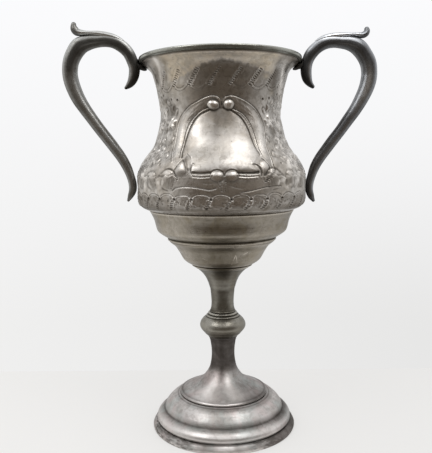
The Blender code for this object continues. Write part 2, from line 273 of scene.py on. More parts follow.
# ------------------------------------------------------------------ materials
class Nodes:
    """Short names for building a node tree."""

    def __init__(self, mat):
        mat.use_nodes = True
        self.tree = mat.node_tree
        self.tree.nodes.clear()

    def new(self, kind, **props):
        n = self.tree.nodes.new(kind)
        for key, value in props.items():
            setattr(n, key, value)
        return n

    def link(self, a, b):
        self.tree.links.new(a, b)

    def value(self, socket, x):
        if hasattr(x, "is_linked") or isinstance(x, bpy.types.NodeSocket):
            self.link(x, socket)
        else:
            socket.default_value = x

    def math(self, op, a, b=None, clamp=False):
        n = self.new("ShaderNodeMath", operation=op, use_clamp=clamp)
        self.value(n.inputs[0], a)
        if b is not None:
            self.value(n.inputs[1], b)
        return n.outputs[0]

    def mix(self, fac, a, b):
        n = self.new("ShaderNodeMix", data_type="RGBA")
        self.value(n.inputs[0], fac)
        self.value(n.inputs[6], a if not isinstance(a, tuple) else (*a, 1.0))
        self.value(n.inputs[7], b if not isinstance(b, tuple) else (*b, 1.0))
        return n.outputs[2]

    def attr(self, name):
        n = self.new("ShaderNodeAttribute", attribute_type="GEOMETRY", attribute_name=name)
        return n

    def scaled(self, vector, scale, offset=(0, 0, 0)):
        n = self.new("ShaderNodeMapping")
        self.value(n.inputs["Vector"], vector)
        n.inputs["Scale"].default_value = scale
        n.inputs["Location"].default_value = offset
        return n.outputs[0]

    def noise(self, vector, scale, detail=4.0, rough=0.55, distortion=0.0):
        n = self.new("ShaderNodeTexNoise")
        self.value(n.inputs["Vector"], vector)
        n.inputs["Scale"].default_value = scale
        n.inputs["Detail"].default_value = detail
        n.inputs["Roughness"].default_value = rough
        n.inputs["Distortion"].default_value = distortion
        return n.outputs[0]

    def to_segment(self, place, a, b):
        """Distance from a place to the straight line between a and b."""
        a, b = Vector(a), Vector(b)
        d = b - a
        off = self.new("ShaderNodeVectorMath", operation="SUBTRACT")
        self.link(place, off.inputs[0])
        off.inputs[1].default_value = a
        dot = self.new("ShaderNodeVectorMath", operation="DOT_PRODUCT")
        self.link(off.outputs[0], dot.inputs[0])
        dot.inputs[1].default_value = d / d.length_squared
        t = self.math("MULTIPLY", dot.outputs["Value"], 1.0, clamp=True)
        near = self.new("ShaderNodeVectorMath", operation="SCALE")
        near.inputs[0].default_value = d
        self.link(t, near.inputs["Scale"])
        gap = self.new("ShaderNodeVectorMath", operation="DISTANCE")
        self.link(off.outputs[0], gap.inputs[0])
        self.link(near.outputs[0], gap.inputs[1])
        return gap.outputs["Value"]

    def span(self, x, lo, hi, to_lo=0.0, to_hi=1.0, smooth=True):
        n = self.new("ShaderNodeMapRange", interpolation_type="SMOOTHSTEP" if smooth else "LINEAR")
        self.value(n.inputs[0], x)
        n.inputs[1].default_value = lo
        n.inputs[2].default_value = hi
        n.inputs[3].default_value = to_lo
        n.inputs[4].default_value = to_hi
        return n.outputs[0]

    def bump(self, height, distance, strength=1.0, below=None):
        n = self.new("ShaderNodeBump")
        self.value(n.inputs["Height"], height)
        n.inputs["Distance"].default_value = distance
        n.inputs["Strength"].default_value = strength
        if below is not None:
            self.link(below, n.inputs["Normal"])
        return n.outputs[0]


def pewter(name, light, dark, brown, rough=0.34, brown_share=0.5, spin=1.0, dents=1.0, seed=0.0, metallic=0.92, edge=0.62, grain=1.0, marks=(), mottle=0.0, depth=0.36, blotch=0.0):
    """Aged pewter: mottled grey with brown tarnish, dirt in the hollows, worn
    bright edges, turning lines, hairline scratches and small pits, with painted
    shade, painted highlights and a tan painted reflection from the attributes."""
    mat = bpy.data.materials.new(name)
    n = Nodes(mat)
    out = n.new("ShaderNodeOutputMaterial")
    shader = n.new("ShaderNodeBsdfPrincipled")
    n.link(shader.outputs[0], out.inputs[0])
    place = n.new("ShaderNodeTexCoord").outputs["Object"]
    moved = n.scaled(place, (1, 1, 1), (seed, seed * 0.7, seed * 1.3))
    turn = n.attr("turn").outputs["Vector"]
    grime = n.attr("grime").outputs["Fac"]
    wear = n.attr("wear").outputs["Fac"]
    stain = n.attr("stain").outputs["Fac"]
    rub = n.attr("rub").outputs["Fac"]
    film = n.attr("film").outputs["Fac"]
    dull = n.attr("dull").outputs["Fac"]

    broad = n.noise(moved, 26.0, 5.0, 0.62, 0.4)
    patch = n.noise(moved, 62.0, 6.0, 0.65, 0.8)
    fine = n.noise(moved, 420.0, 4.0, 0.6)
    speck = n.noise(moved, 900.0, 2.0, 0.5)
    streak = n.noise(n.scaled(turn, (9, 9, 260)), 1.0, 5.0, 0.6)
    lines = n.noise(n.scaled(turn, (14, 14, 2600)), 1.0, 3.0, 0.6)
    hair_a = n.noise(n.scaled(moved, (60, 60, 2200)), 1.0, 2.0, 0.5)
    tilt = n.new("ShaderNodeVectorRotate", rotation_type="EULER_XYZ")
    n.link(moved, tilt.inputs["Vector"])
    tilt.inputs["Rotation"].default_value = (0.9, 0.7, 0.4)
    hair_b = n.noise(n.scaled(tilt.outputs[0], (70, 2400, 70)), 1.0, 2.0, 0.5)

    tone = n.math("ADD", n.math("MULTIPLY", broad, 0.55), n.math("MULTIPLY", streak, 0.45))
    colour = n.mix(n.span(tone, 0.38, 0.64), dark, light)
    tarnish = n.math("MULTIPLY", n.span(patch, 0.44, 0.66), brown_share, clamp=True)
    colour = n.mix(tarnish, colour, brown)
    colour = n.mix(n.math("MULTIPLY", n.span(fine, 0.35, 0.75), 0.22), colour, tuple(0.62 * c for c in light))
    deep = tuple(0.16 * c for c in brown)
    # colour of the tan film, which also stands for the table's painted reflection under the lip
    haze = (0.64, 0.55, 0.425)
    if blotch:
        # cool and warm clouds of thin tarnish
        cool = n.span(n.noise(moved, 46.0, 4.0, 0.6, 0.5), 0.46, 0.62)
        warm = n.span(n.noise(n.scaled(moved, (1, 1, 1), (0.31, 0.17, 0.23)), 58.0, 5.0, 0.62, 0.6), 0.48, 0.64)
        colour = n.mix(n.math("MULTIPLY", cool, blotch), colour, (0.86 * dark[0], 1.0 * dark[1], 1.0 * dark[2]))
        colour = n.mix(n.math("MULTIPLY", warm, blotch), colour, (1.12 * dark[0], 0.98 * dark[1], 0.98 * dark[2]))
    if mottle:
        # small cloudy spots of thin tarnish
        spots = n.noise(moved, 300.0, 4.0, 0.66, 0.6)
        colour = n.mix(n.math("MULTIPLY", n.span(spots, 0.46, 0.64), mottle), colour, tuple(0.72 * a + 0.28 * b for a, b in zip(tuple(0.55 * c for c in dark), brown)))
        haze = n.mix(n.math("MULTIPLY", n.span(n.noise(moved, 170.0, 5.0, 0.7, 0.9), 0.45, 0.66), 0.62), (0.69, 0.60, 0.47), (0.33, 0.295, 0.225))
        haze = n.mix(n.math("MULTIPLY", n.span(n.noise(moved, 560.0, 3.0, 0.6), 0.60, 0.70), 0.7), haze, (0.17, 0.15, 0.11))
    # tarnish and painted shade deepen the colour towards brown
    cloud = n.math("MULTIPLY", stain, n.span(patch, 0.25, 0.7, 0.75, 1.0), clamp=True)
    colour = n.mix(n.math("MULTIPLY", cloud, 0.9), colour, tuple(depth * c for c in brown))
    # tan haze: a film, painted where the flare under the lip reflects the table
    veil = n.math("MULTIPLY", film, n.span(fine, 0.25, 0.7, 0.7, 1.0), clamp=True)
    colour = n.mix(veil, colour, haze)
    # dirt in the hollows, and painted shade where a painted value runs above 1
    dirt = n.math("MULTIPLY", grime, n.span(patch, 0.2, 0.7, 0.7, 1.0), clamp=True)
    colour = n.mix(n.math("MULTIPLY", dirt, 0.88), colour, deep)
    bright = tuple(min(1.0, 1.5 * c) for c in light)
    wear = n.math("MULTIPLY", wear, n.math("SUBTRACT", 1.0, n.math("MULTIPLY", stain, 0.95)), clamp=True)
    colour = n.mix(n.math("MULTIPLY", wear, 0.6), colour, bright)
    # rubbed metal and painted highlights brighten the colour
    colour = n.mix(n.math("MULTIPLY", rub, n.span(fine, 0.2, 0.8, 0.75, 1.0)), colour, tuple(min(1.0, 1.55 * c) for c in light))
    pit = n.span(speck, 0.70, 0.78)
    colour = n.mix(n.math("MULTIPLY", pit, 0.5), colour, deep)
    cut = None
    for a, b, wide in marks:
        line = n.span(n.to_segment(place, a, b), wide * 0.25, wide, 1.0, 0.0)
        cut = line if cut is None else n.math("MAXIMUM", cut, line)
    if cut is not None:
        colour = n.mix(n.math("MULTIPLY", cut, n.span(fine, 0.3, 0.6, 0.25, 0.8)), colour, tuple(min(1.0, 2.1 * c) for c in light))
    n.link(colour, shader.inputs["Base Color"])

    shader.inputs["Metallic"].default_value = metallic
    shader.inputs["Specular Tint"].default_value = (edge, edge, edge, 1.0)
    r = n.span(patch, 0.3, 0.7, rough - 0.05, rough + 0.08)
    r = n.math("ADD", r, n.math("MULTIPLY", n.span(fine, 0.3, 0.7), 0.05))
    r = n.math("ADD", r, n.math("MULTIPLY", dirt, 0.25))
    r = n.math("ADD", r, n.math("MULTIPLY", veil, 0.24))
    r = n.math("ADD", r, n.math("MULTIPLY", dull, 0.145))
    r = n.math("SUBTRACT", r, n.math("MULTIPLY", wear, 0.07))
    r = n.math("SUBTRACT", r, n.math("MULTIPLY", rub, 0.04))
    r = n.math("ADD", r, n.math("MULTIPLY", stain, 0.05), clamp=True)
    n.link(r, shader.inputs["Roughness"])

    nrm = n.bump(n.noise(moved, 75.0, 2.0, 0.5), 0.0012, 0.35 * dents)
    nrm = n.bump(n.noise(moved, 210.0, 3.0, 0.55), 0.00035, 0.45 * dents, nrm)
    nrm = n.bump(lines, 0.00008, 0.55 * spin, nrm)
    nrm = n.bump(n.span(hair_a, 0.30, 0.34), 0.00004, 0.4 * grain, nrm)
    nrm = n.bump(n.span(hair_b, 0.28, 0.33), 0.00005, 0.5 * grain, nrm)
    nrm = n.bump(n.math("SUBTRACT", fine, pit), 0.00006, 0.6 * grain, nrm)
    n.link(nrm, shader.inputs["Normal"])
    return mat


def on_lower_bowl(phi, z):
    """Place in the object's frame on the lower tier, at an angle from the front."""
    r = np.interp(z, [104.4, 106.0, 108.0, 112.0, 116.0, 119.0], [20.0, 22.6, 24.65, 26.9, 29.45, 32.9])
    a = math.radians(phi + math.degrees(-TURN) - 90.0)
    return (r * math.cos(a) * MM, r * math.sin(a) * MM, (z + DATUM) * MM)


SCRATCHES = [(on_lower_bowl(a, b), on_lower_bowl(c, d), w) for a, b, c, d, w in (
    (17.0, 113.6, 15.4, 110.6, 0.00024), (15.4, 110.6, 13.6, 107.6, 0.00022), (17.6, 113.0, 21.0, 108.6, 0.00018), (27.4, 113.6, 32.0, 114.8, 0.00026), (-26.0, 111.4, -20.0, 110.2, 0.00018))]

M_BOWL = pewter("bowl_pewter", (0.61, 0.58, 0.545), (0.48, 0.452, 0.415), (0.38, 0.32, 0.25), 0.28, 0.5, spin=0.4, dents=0.35, seed=0.13, grain=0.8, mottle=0.62, depth=0.31)
M_RIM = pewter("rim_pewter", (0.36, 0.365, 0.335), (0.24, 0.24, 0.215), (0.20, 0.185, 0.14), 0.26, 0.45, seed=0.41)
M_TIER = pewter("lower_bowl_pewter", (0.415, 0.381, 0.332), (0.295, 0.266, 0.223), (0.275, 0.232, 0.155), 0.28, 0.7, dents=0.8, seed=0.77, marks=SCRATCHES, mottle=0.5)
M_STEM = pewter("stem_pewter", (0.325, 0.312, 0.277), (0.208, 0.196, 0.170), (0.19, 0.165, 0.122), 0.28, 0.6, dents=0.8, seed=1.21, mottle=0.32)
M_FOOT = pewter("foot_pewter", (0.615, 0.587, 0.57), (0.455, 0.431, 0.414), (0.34, 0.29, 0.255), 0.39, 0.55, seed=1.83, metallic=0.86, mottle=0.62, depth=0.21, blotch=0.62)
M_HANDLE_L = pewter("left_handle_pewter", (0.425, 0.427, 0.415), (0.28, 0.278, 0.266), (0.23, 0.214, 0.185), 0.29, 0.45, spin=0.0, dents=0.2, seed=2.31, grain=0.05, depth=0.19)
M_HANDLE_R = pewter("right_handle_pewter", (0.425, 0.437, 0.452), (0.275, 0.285, 0.30), (0.213, 0.205, 0.20), 0.28, 0.3, spin=0.0, dents=0.2, seed=2.57, grain=0.05, depth=0.20)
# near-black: painted shadow under the ends of the rim beside the handles
M_SOLDER = pewter("solder", (0.12, 0.115, 0.11), (0.05, 0.048, 0.045), (0.04, 0.035, 0.03), 0.45, 0.4, spin=0.0, dents=1.6, seed=2.9)

# -------------------------------------------------------- bowl body and relief
RELIEF_TURN = -math.degrees(TURN)  # the ornament faces the camera squarely
BODY_COLS = 1200

body_out = runs(
    (0.5, [(48.0, 231.9), (48.0, 229.4)]),
    (0.33, [(48.0, 229.4), (47.4, 228.2), (46.0, 227.1), (44.3, 225.8), (42.8, 224.1), (41.55, 221.6), (40.45, 218.0), (39.5, 214.0),
            (38.75, 210.0), (38.05, 206.0), (37.35, 202.0), (37.0, 198.6), (37.15, 195.4), (37.6, 192.6), (38.25, 189.8), (39.1, 186.6),
            (40.1, 183.2), (41.25, 180.2), (42.7, 177.4), (44.6, 174.8), (46.4, 172.5), (48.1, 170.4), (49.5, 168.4), (50.7, 166.2),
            (51.5, 163.8), (52.0, 161.0), (52.3, 157.0), (52.45, 152.5), (52.4, 148.5), (52.25, 145.6), (51.9, 144.1), (51.4, 143.0), (50.5, 142.0),
            (49.3, 141.0), (47.5, 140.1), (46.3, 139.6)]),
    (0.33, [(46.3, 139.6), (45.8, 139.35), (45.35, 139.25)]),
)
body_in = runs(
    (1.2, [(45.3, 140.6), (47.0, 141.3), (48.9, 142.6), (50.1, 144.8), (50.9, 149.0), (51.0, 154.0), (50.6, 160.0), (49.3, 164.6),
           (46.4, 169.8), (42.9, 174.9), (40.1, 180.0), (38.1, 186.0), (36.6, 191.6), (35.7, 198.6), (36.4, 205.0), (37.8, 213.0),
           (39.8, 220.6), (41.6, 224.8), (43.6, 227.0), (45.6, 228.6), (46.6, 230.2)]),
    (0.8, [(46.6, 230.2), (46.7, 231.4)]),
    (0.5, [(46.7, 231.4), (47.0, 231.9), (47.9, 231.9)]),
)


class Relief:
    """Height field over the body's outer skin.  Paths are given as (angle from
    the front in degrees, height in mm); lengths and depths are in mm."""

    def __init__(self, profile, cols):
        self.p = profile
        self.s = arc(profile)
        self.cols = cols
        order = np.argsort(profile[:, 1])
        self.zs, self.rz, self.sz = profile[order, 1], profile[order, 0], self.s[order]
        ang = np.degrees(np.linspace(0, 2 * math.pi, cols, endpoint=False)) + 90.0 - RELIEF_TURN
        self.phi = (ang + 180.0) % 360.0 - 180.0       # angle from the front
        self.h = np.zeros((len(profile), cols))
        # per vertex: tarnish with painted shade, rubbed metal with painted highlights, a tan film with the table's
        # painted reflection, dullness and calm ground
        self.stain = np.zeros((len(profile), cols))
        self.rub = np.zeros((len(profile), cols))
        self.film = np.zeros((len(profile), cols))
        self.dull = np.zeros((len(profile), cols))
        self.calm = np.zeros((len(profile), cols))

    def radius(self, z):
        return np.interp(z, self.zs, self.rz)

    def along(self, z):
        return np.interp(z, self.zs, self.sz)

    def window(self, phi, z, margin):
        """Rows and columns within margin mm of the given places, with local
        coordinates in mm: x round the body and y down it, about phi[0]."""
        phi, z = np.atleast_1d(phi).astype(float), np.atleast_1d(z).astype(float)
        s = self.along(z)
        rows = np.where((self.s > s.min() - margin) & (self.s < s.max() + margin))[0]
        mid = phi.mean()
        rel = (self.phi - mid + 180.0) % 360.0 - 180.0
        r_small = self.p[rows, 0].min() if len(rows) else 37.0
        reach = (phi.max() - phi.min()) / 2 + math.degrees(margin / r_small)
        cols = np.where(np.abs(rel) < reach)[0]
        x = np.radians(rel[cols])[None, :] * self.p[rows, 0][:, None]
        y = np.broadcast_to(self.s[rows][:, None], x.shape)
        px = np.radians(phi - mid) * self.radius(z)
        return np.ix_(rows, cols), x, y, px, s

    def distance(self, path, margin, step=0.5):
        """Distance to a path, the side it lies on (positive on the right-hand
        side as the path runs) and how far along it the nearest point lies."""
        pts = np.array(path, float)
        box, x, y, px, py = self.window(pts[:, 0], pts[:, 1], margin)
        line = spline(np.column_stack([px, py]), step)
        best = np.full(x.shape, 1e9)
        side = np.zeros(x.shape)
        along = np.zeros(x.shape)
        run = arc(line)
        for k in range(len(line) - 1):
            a, b = line[k], line[k + 1]
            d = b - a
            length = max(np.hypot(*d), 1e-9)
            t = np.clip(((x - a[0]) * d[0] + (y - a[1]) * d[1]) / length ** 2, 0, 1)
            qx, qy = x - a[0] - t * d[0], y - a[1] - t * d[1]
            dist = np.hypot(qx, qy)
            near = dist < best
            best = np.where(near, dist, best)
            side = np.where(near, np.sign(d[0] * qy - d[1] * qx), side)
            along = np.where(near, run[k] + t * length, along)
        return box, best, side, along, run[-1]

    def line(self, path, depth, width, ridge=0.0, ridge_side=0, offset=None, taper=0.0, second=0.0, gap=1.0):
        """Chased groove, with an optional ridge thrown up beside it and a
        second, shallower groove beyond the ridge."""
        offset = offset if offset is not None else width * 1.9
        box, d, side, along, total = self.distance(path, 4 * width + abs(offset) + (gap if second else 0.0))
        strength = 1.0
        if taper:
            strength = np.clip(np.minimum(along, total - along) / taper, 0.12, 1.0)
        h = -depth * strength * np.exp(-(d / width) ** 2)
        signed = d * side * (ridge_side if ridge_side else 1)
        if not ridge_side:
            signed = d
        if ridge:
            h += ridge * strength * np.exp(-((signed - offset) / (width * 1.1)) ** 2)
        if second:
            h -= second * strength * np.exp(-((signed - gap) / (width * 0.9)) ** 2)
        self.h[box] += h

    def ridge(self, path, height, width, taper=0.0):
        box, d, side, along, total = self.distance(path, 4 * width)
        strength = np.clip(np.minimum(along, total - along) / taper, 0.1, 1.0) if taper else 1.0
        self.h[box] += height * strength * np.exp(-(d / width) ** 2)

    def trace(self, path, amount, width, what="stain"):
        """A soft line added to the field named by what: darker for tarnish and painted shade, brighter for rubbed metal
        and painted highlights.
        """
        box, d, side, along, total = self.distance(path, 3 * width)
        field = getattr(self, what)
        field[box] += amount * np.exp(-(d / width) ** 2)

    def soft(self, phi, z, rx, ry, amount, turn=0.0, what="stain", hard=1.0):
        """Soft patch added to the field named by what (tarnish and painted shade,
        rubbed metal and painted highlights, dullness), half sizes in mm."""
        box, x, y, px, py = self.window(phi, z, max(rx, ry) * 2.0)
        x, y = x - px[0], y - py[0]
        c, s = math.cos(math.radians(turn)), math.sin(math.radians(turn))
        u, v = (c * x + s * y) / rx, (-s * x + c * y) / ry
        field = getattr(self, what)
        field[box] += amount * np.exp(-((u * u + v * v) ** hard))

    def lobe(self, phi, z, rx, ry, height, turn=0.0, edge=0.0, power=0.7, skew=0.0, ring=1.0, round_=2.0):
        """Raised oval, with a groove of depth edge round its foot."""
        box, x, y, px, py = self.window(phi, z, max(rx, ry) * 1.7 + 1.0)
        x, y = x - px[0], y - py[0]
        c, s = math.cos(math.radians(turn)), math.sin(math.radians(turn))
        u, v = c * x + s * y, -s * x + c * y
        u = u * (1.0 + skew * np.clip(v / ry, -1.3, 1.3))
        rho = (np.abs(u / rx) ** round_ + np.abs(v / ry) ** round_) ** (1.0 / round_)
        h = height * np.clip(1 - rho ** 2, 0, 1) ** power
        if edge:
            w = 0.28 / min(rx, ry)
            h -= edge * np.exp(-((rho - 1.0 - 0.5 * w) / (w * ring)) ** 2)
        self.h[box] += h

    def punch(self, phi, z, depth, long=0.7, short=0.28, turn=0.0, lip=0.35):
        """One blow of a small punch: a pit with a raised lip round it."""
        box, x, y, px, py = self.window(phi, z, 3 * long + 0.6)
        x, y = x - px[0], y - py[0]
        c, s = math.cos(math.radians(turn)), math.sin(math.radians(turn))
        u, v = (c * x + s * y) / long, (-s * x + c * y) / short
        q = u * u + v * v
        self.h[box] += depth * (-np.exp(-q ** 1.5) + lip * np.exp(-((np.sqrt(q) - 1.8) / 0.5) ** 2))

    def row(self, a, b, count, depth, long=0.7, short=0.28, turn=0.0, jitter=0.12, grow=0.0):
        """A row of blows from a to b."""
        for k in range(count):
            t = k / max(count - 1, 1)
            phi = a[0] + (b[0] - a[0]) * t + rng.normal(0, jitter)
            z = a[1] + (b[1] - a[1]) * t + rng.normal(0, jitter * 0.5)
            size = 1.0 + grow * (0.5 - t)
            self.punch(phi, z, depth * size * rng.uniform(0.8, 1.15), long * size, short * (1.0 + 0.5 * (size - 1.0)), turn + rng.normal(0, 6))


def mirrored(path, centre=0.0):
    return [(2 * centre - a, z) for a, z in path]


def ornament(rel):
    # ---- fluted band round the lower belly: flat slanted lobes under
    # scallops, parted by rows of punched strokes that start in a round dot
    count, first = 30, 5.6
    rows = np.where((rel.p[:, 1] > 141.0) & (rel.p[:, 1] < 153.5))[0]
    z = rel.p[rows, 1][:, None]
    lean = 0.62                                             # degrees per mm
    q = (rel.phi[None, :] - first - lean * (z - 148.4)) / (360.0 / count)
    q = q - np.floor(q)
    arch = 148.8 + 2.0 * np.sin(math.pi * q) ** 0.8
    fade = ramp(z, 141.6, 146.6) * np.clip((arch - z) / 1.2, 0, 1)
    rel.h[rows] += 0.17 * np.sin(math.pi * q) ** 1.2 * fade
    rel.h[rows] += 0.06 * fade * np.sin(q * 9.0 + z * 1.9) * np.cos(z * 1.1 + rel.phi[None, :] * 0.23)
    edge = np.abs(rel.phi[None, :])
    # darker over the second half of each lobe and near its start; painted shade towards the sides, heavier on the left,
    # and along the band's foot
    rel.stain[rows] += fade * (0.18 * np.clip(q - 0.5, 0, 1) + 0.20 * bell(q, 0.12, 0.10) + np.where(rel.phi[None, :] < 0, 0.74, 0.54) * ramp(edge, 22.0, 48.0))
    rel.stain[rows] += 0.50 * ramp(edge, 30.0, 62.0) * (1 - fade) * np.clip((149.0 - z) / 3.0, 0, 1)
    rel.stain[rows] += 0.62 * bell(z, 141.6, 1.7) + 0.42 * bell(z, 143.4, 1.4) * np.clip((64.0 - edge) / 16.0, 0, 1)
    for k in range(count):
        at = first + 360.0 / count * k + rng.normal(0, 0.25)
        tall = rng.normal(0, 0.18)
        scallop = [(at + 0.1, 148.9), (at + 1.2, 150.0), (at + 3.2, 150.9), (at + 6.0, 151.2), (at + 8.8, 150.9), (at + 10.8, 150.0), (at + 11.9, 148.9)]
        scallop = [(a, b + tall + rng.normal(0, 0.10)) for a, b in scallop]
        rel.line(scallop, 0.24, 0.22, ridge=0.20, ridge_side=1, offset=0.55, second=0.15, gap=1.1)
        rel.punch(at + rng.normal(0, 0.15), 148.3, 0.80, 0.62, 0.62, 0)
        rel.soft(at, 148.3, 0.72, 0.72, 1.0)
        for k in range(5):
            t = k / 4
            rel.punch(at - 0.8 - 2.6 * t + rng.normal(0, 0.15), 147.1 - 4.3 * t + rng.normal(0, 0.08), 0.42 * rng.uniform(0.8, 1.15), 0.95, 0.30, 10 + rng.normal(0, 6), lip=0.75)
        # odd chatter marks on the lobes
        for _ in range(8):
            a, b = at + rng.uniform(1.8, 10.5), rng.uniform(142.8, 149.4)
            rel.punch(a, b, rng.uniform(0.10, 0.24), rng.uniform(0.4, 0.95), 0.26, rng.uniform(-60, 60))
            rel.soft(a, b, 0.8, 0.35, rng.uniform(0.0, 0.35))

    # ---- tongues under the lip: slanted rows of strokes, joined below by arcs
    count, first = 21, 8.0
    for k in range(count):
        at = first + 360.0 / count * k
        near = abs(((at + 8.0 + 180) % 360) - 180)
        worn = float(np.clip(near / 26.0, 0.0, 1.0))
        rel.row((at + 0.1, 212.2), (at + 8.4, 220.8), 9, 0.38 + 0.10 * worn, 0.98, 0.31, 24, jitter=0.12, grow=0.15)
        if worn > 0.5:
            rel.row((at + 3.6, 214.4), (at + 9.8, 220.4), 6, 0.20 * worn, 0.6, 0.26, 24, jitter=0.15)
        show = 0.10 + 0.90 * float(np.clip((near - 10.0) / 14.0, 0.0, 1.0))
        rel.line([(at - 0.8, 213.6), (at + 0.2, 211.8), (at + 3.2, 210.2), (at + 6.8, 209.4), (at + 10.6, 209.9), (at + 13.8, 211.2), (at + 16.0, 212.4)],
                 0.16 * show, 0.23, ridge=0.15 * show, ridge_side=-1, offset=0.5)
        rel.line([(at + 2.6, 214.4), (at + 2.6, 212.4), (at + 5.2, 211.2), (at + 8.6, 211.0), (at + 12.4, 212.2)],
                 0.18 * show, 0.22, ridge=0.12 * show, ridge_side=1, offset=0.45)

    for turn in (0.0, 180.0):
        cartouche(rel, turn)
        plain = rel.h.copy()
        for side in (-1, 1):
            foliage(rel, turn, side)
        # the sprays are worn soft, on a lumpy hammered ground
        z = rel.p[:, 1][:, None]
        x = np.abs((rel.phi[None, :] - turn + 180) % 360 - 180)
        edge = np.interp(z, [152, 158, 164, 176, 187, 193, 197, 202, 207], [44.0, 32.0, 35.0, 40.0, 42.0, 42.0, 40.0, 43.0, 50.0])
        ground = ramp(x, 0.0, 1.0) * np.clip((x - edge) / 4.0, 0, 1) * np.clip((91.0 - x) / 2.0, 0, 1) * ramp(z, 151.0, 155.0) * ramp(-z, -209.0, -204.0)
        lumps = blurred(rng.normal(size=rel.h.shape), 2.9, 4.0)
        lumps /= lumps.std()
        swell = blurred(rng.normal(size=rel.h.shape), 6.5, 9.0)
        swell /= swell.std()
        rel.h = plain + 1.35 * blurred(rel.h - plain, 0.95, 1.4) + ground * (0.085 * lumps + 0.09 * swell)
        rel.stain += ground * (0.03 + 0.20 * np.clip(-swell - 0.3, 0, 1.6) + 0.12 * np.clip(-lumps - 0.5, 0, 1.5)) * ramp(z, 158.0, 172.0)
        rel.rub += ground * 0.32 * np.clip(swell + lumps - 0.8, 0, 1.4)
        rel.calm = np.maximum(rel.calm, ground)
    tarnish(rel)


OUTER_L = [(0.7, 203.7), (-2.0, 205.2), (-5.0, 205.9), (-9.0, 205.9), (-13.0, 205.2), (-20.0, 203.3), (-28.5, 200.8), (-36.0, 196.8), (-40.0, 193.0),
           (-41.2, 187.0), (-40.7, 181.0), (-39.5, 176.0), (-37.6, 172.6), (-35.2, 169.3)]
OUTER_R = [(1.4, 203.6), (3.1, 204.8), (7.0, 205.8), (11.1, 205.8), (19.0, 204.0), (26.7, 201.6), (33.4, 198.5), (38.4, 193.8), (40.4, 188.2),
           (39.4, 182.4), (37.6, 177.2), (36.6, 171.4), (35.7, 166.0)]
INNER_L1 = [(-9.0, 199.7), (-11.4, 199.3), (-17.6, 197.6), (-22.7, 194.8), (-27.5, 191.4), (-30.2, 186.6), (-31.0, 181.0), (-30.7, 175.9), (-29.5, 171.4)]
INNER_L2 = [(-8.6, 198.2), (-10.8, 197.7), (-18.5, 195.5), (-23.1, 192.4), (-26.4, 188.2), (-28.6, 182.9), (-29.3, 178.0), (-28.9, 174.2), (-27.6, 171.6)]
INNER_R1 = [(9.6, 199.2), (12.3, 198.2), (18.4, 196.3), (22.9, 193.6), (26.4, 189.6), (28.3, 185.2), (29.2, 180.6), (29.4, 176.5), (29.6, 172.6)]
INNER_R2 = [(9.0, 197.7), (11.1, 196.8), (16.4, 194.4), (20.5, 191.0), (23.3, 186.7), (25.3, 181.0), (27.0, 175.9), (28.2, 172.8)]


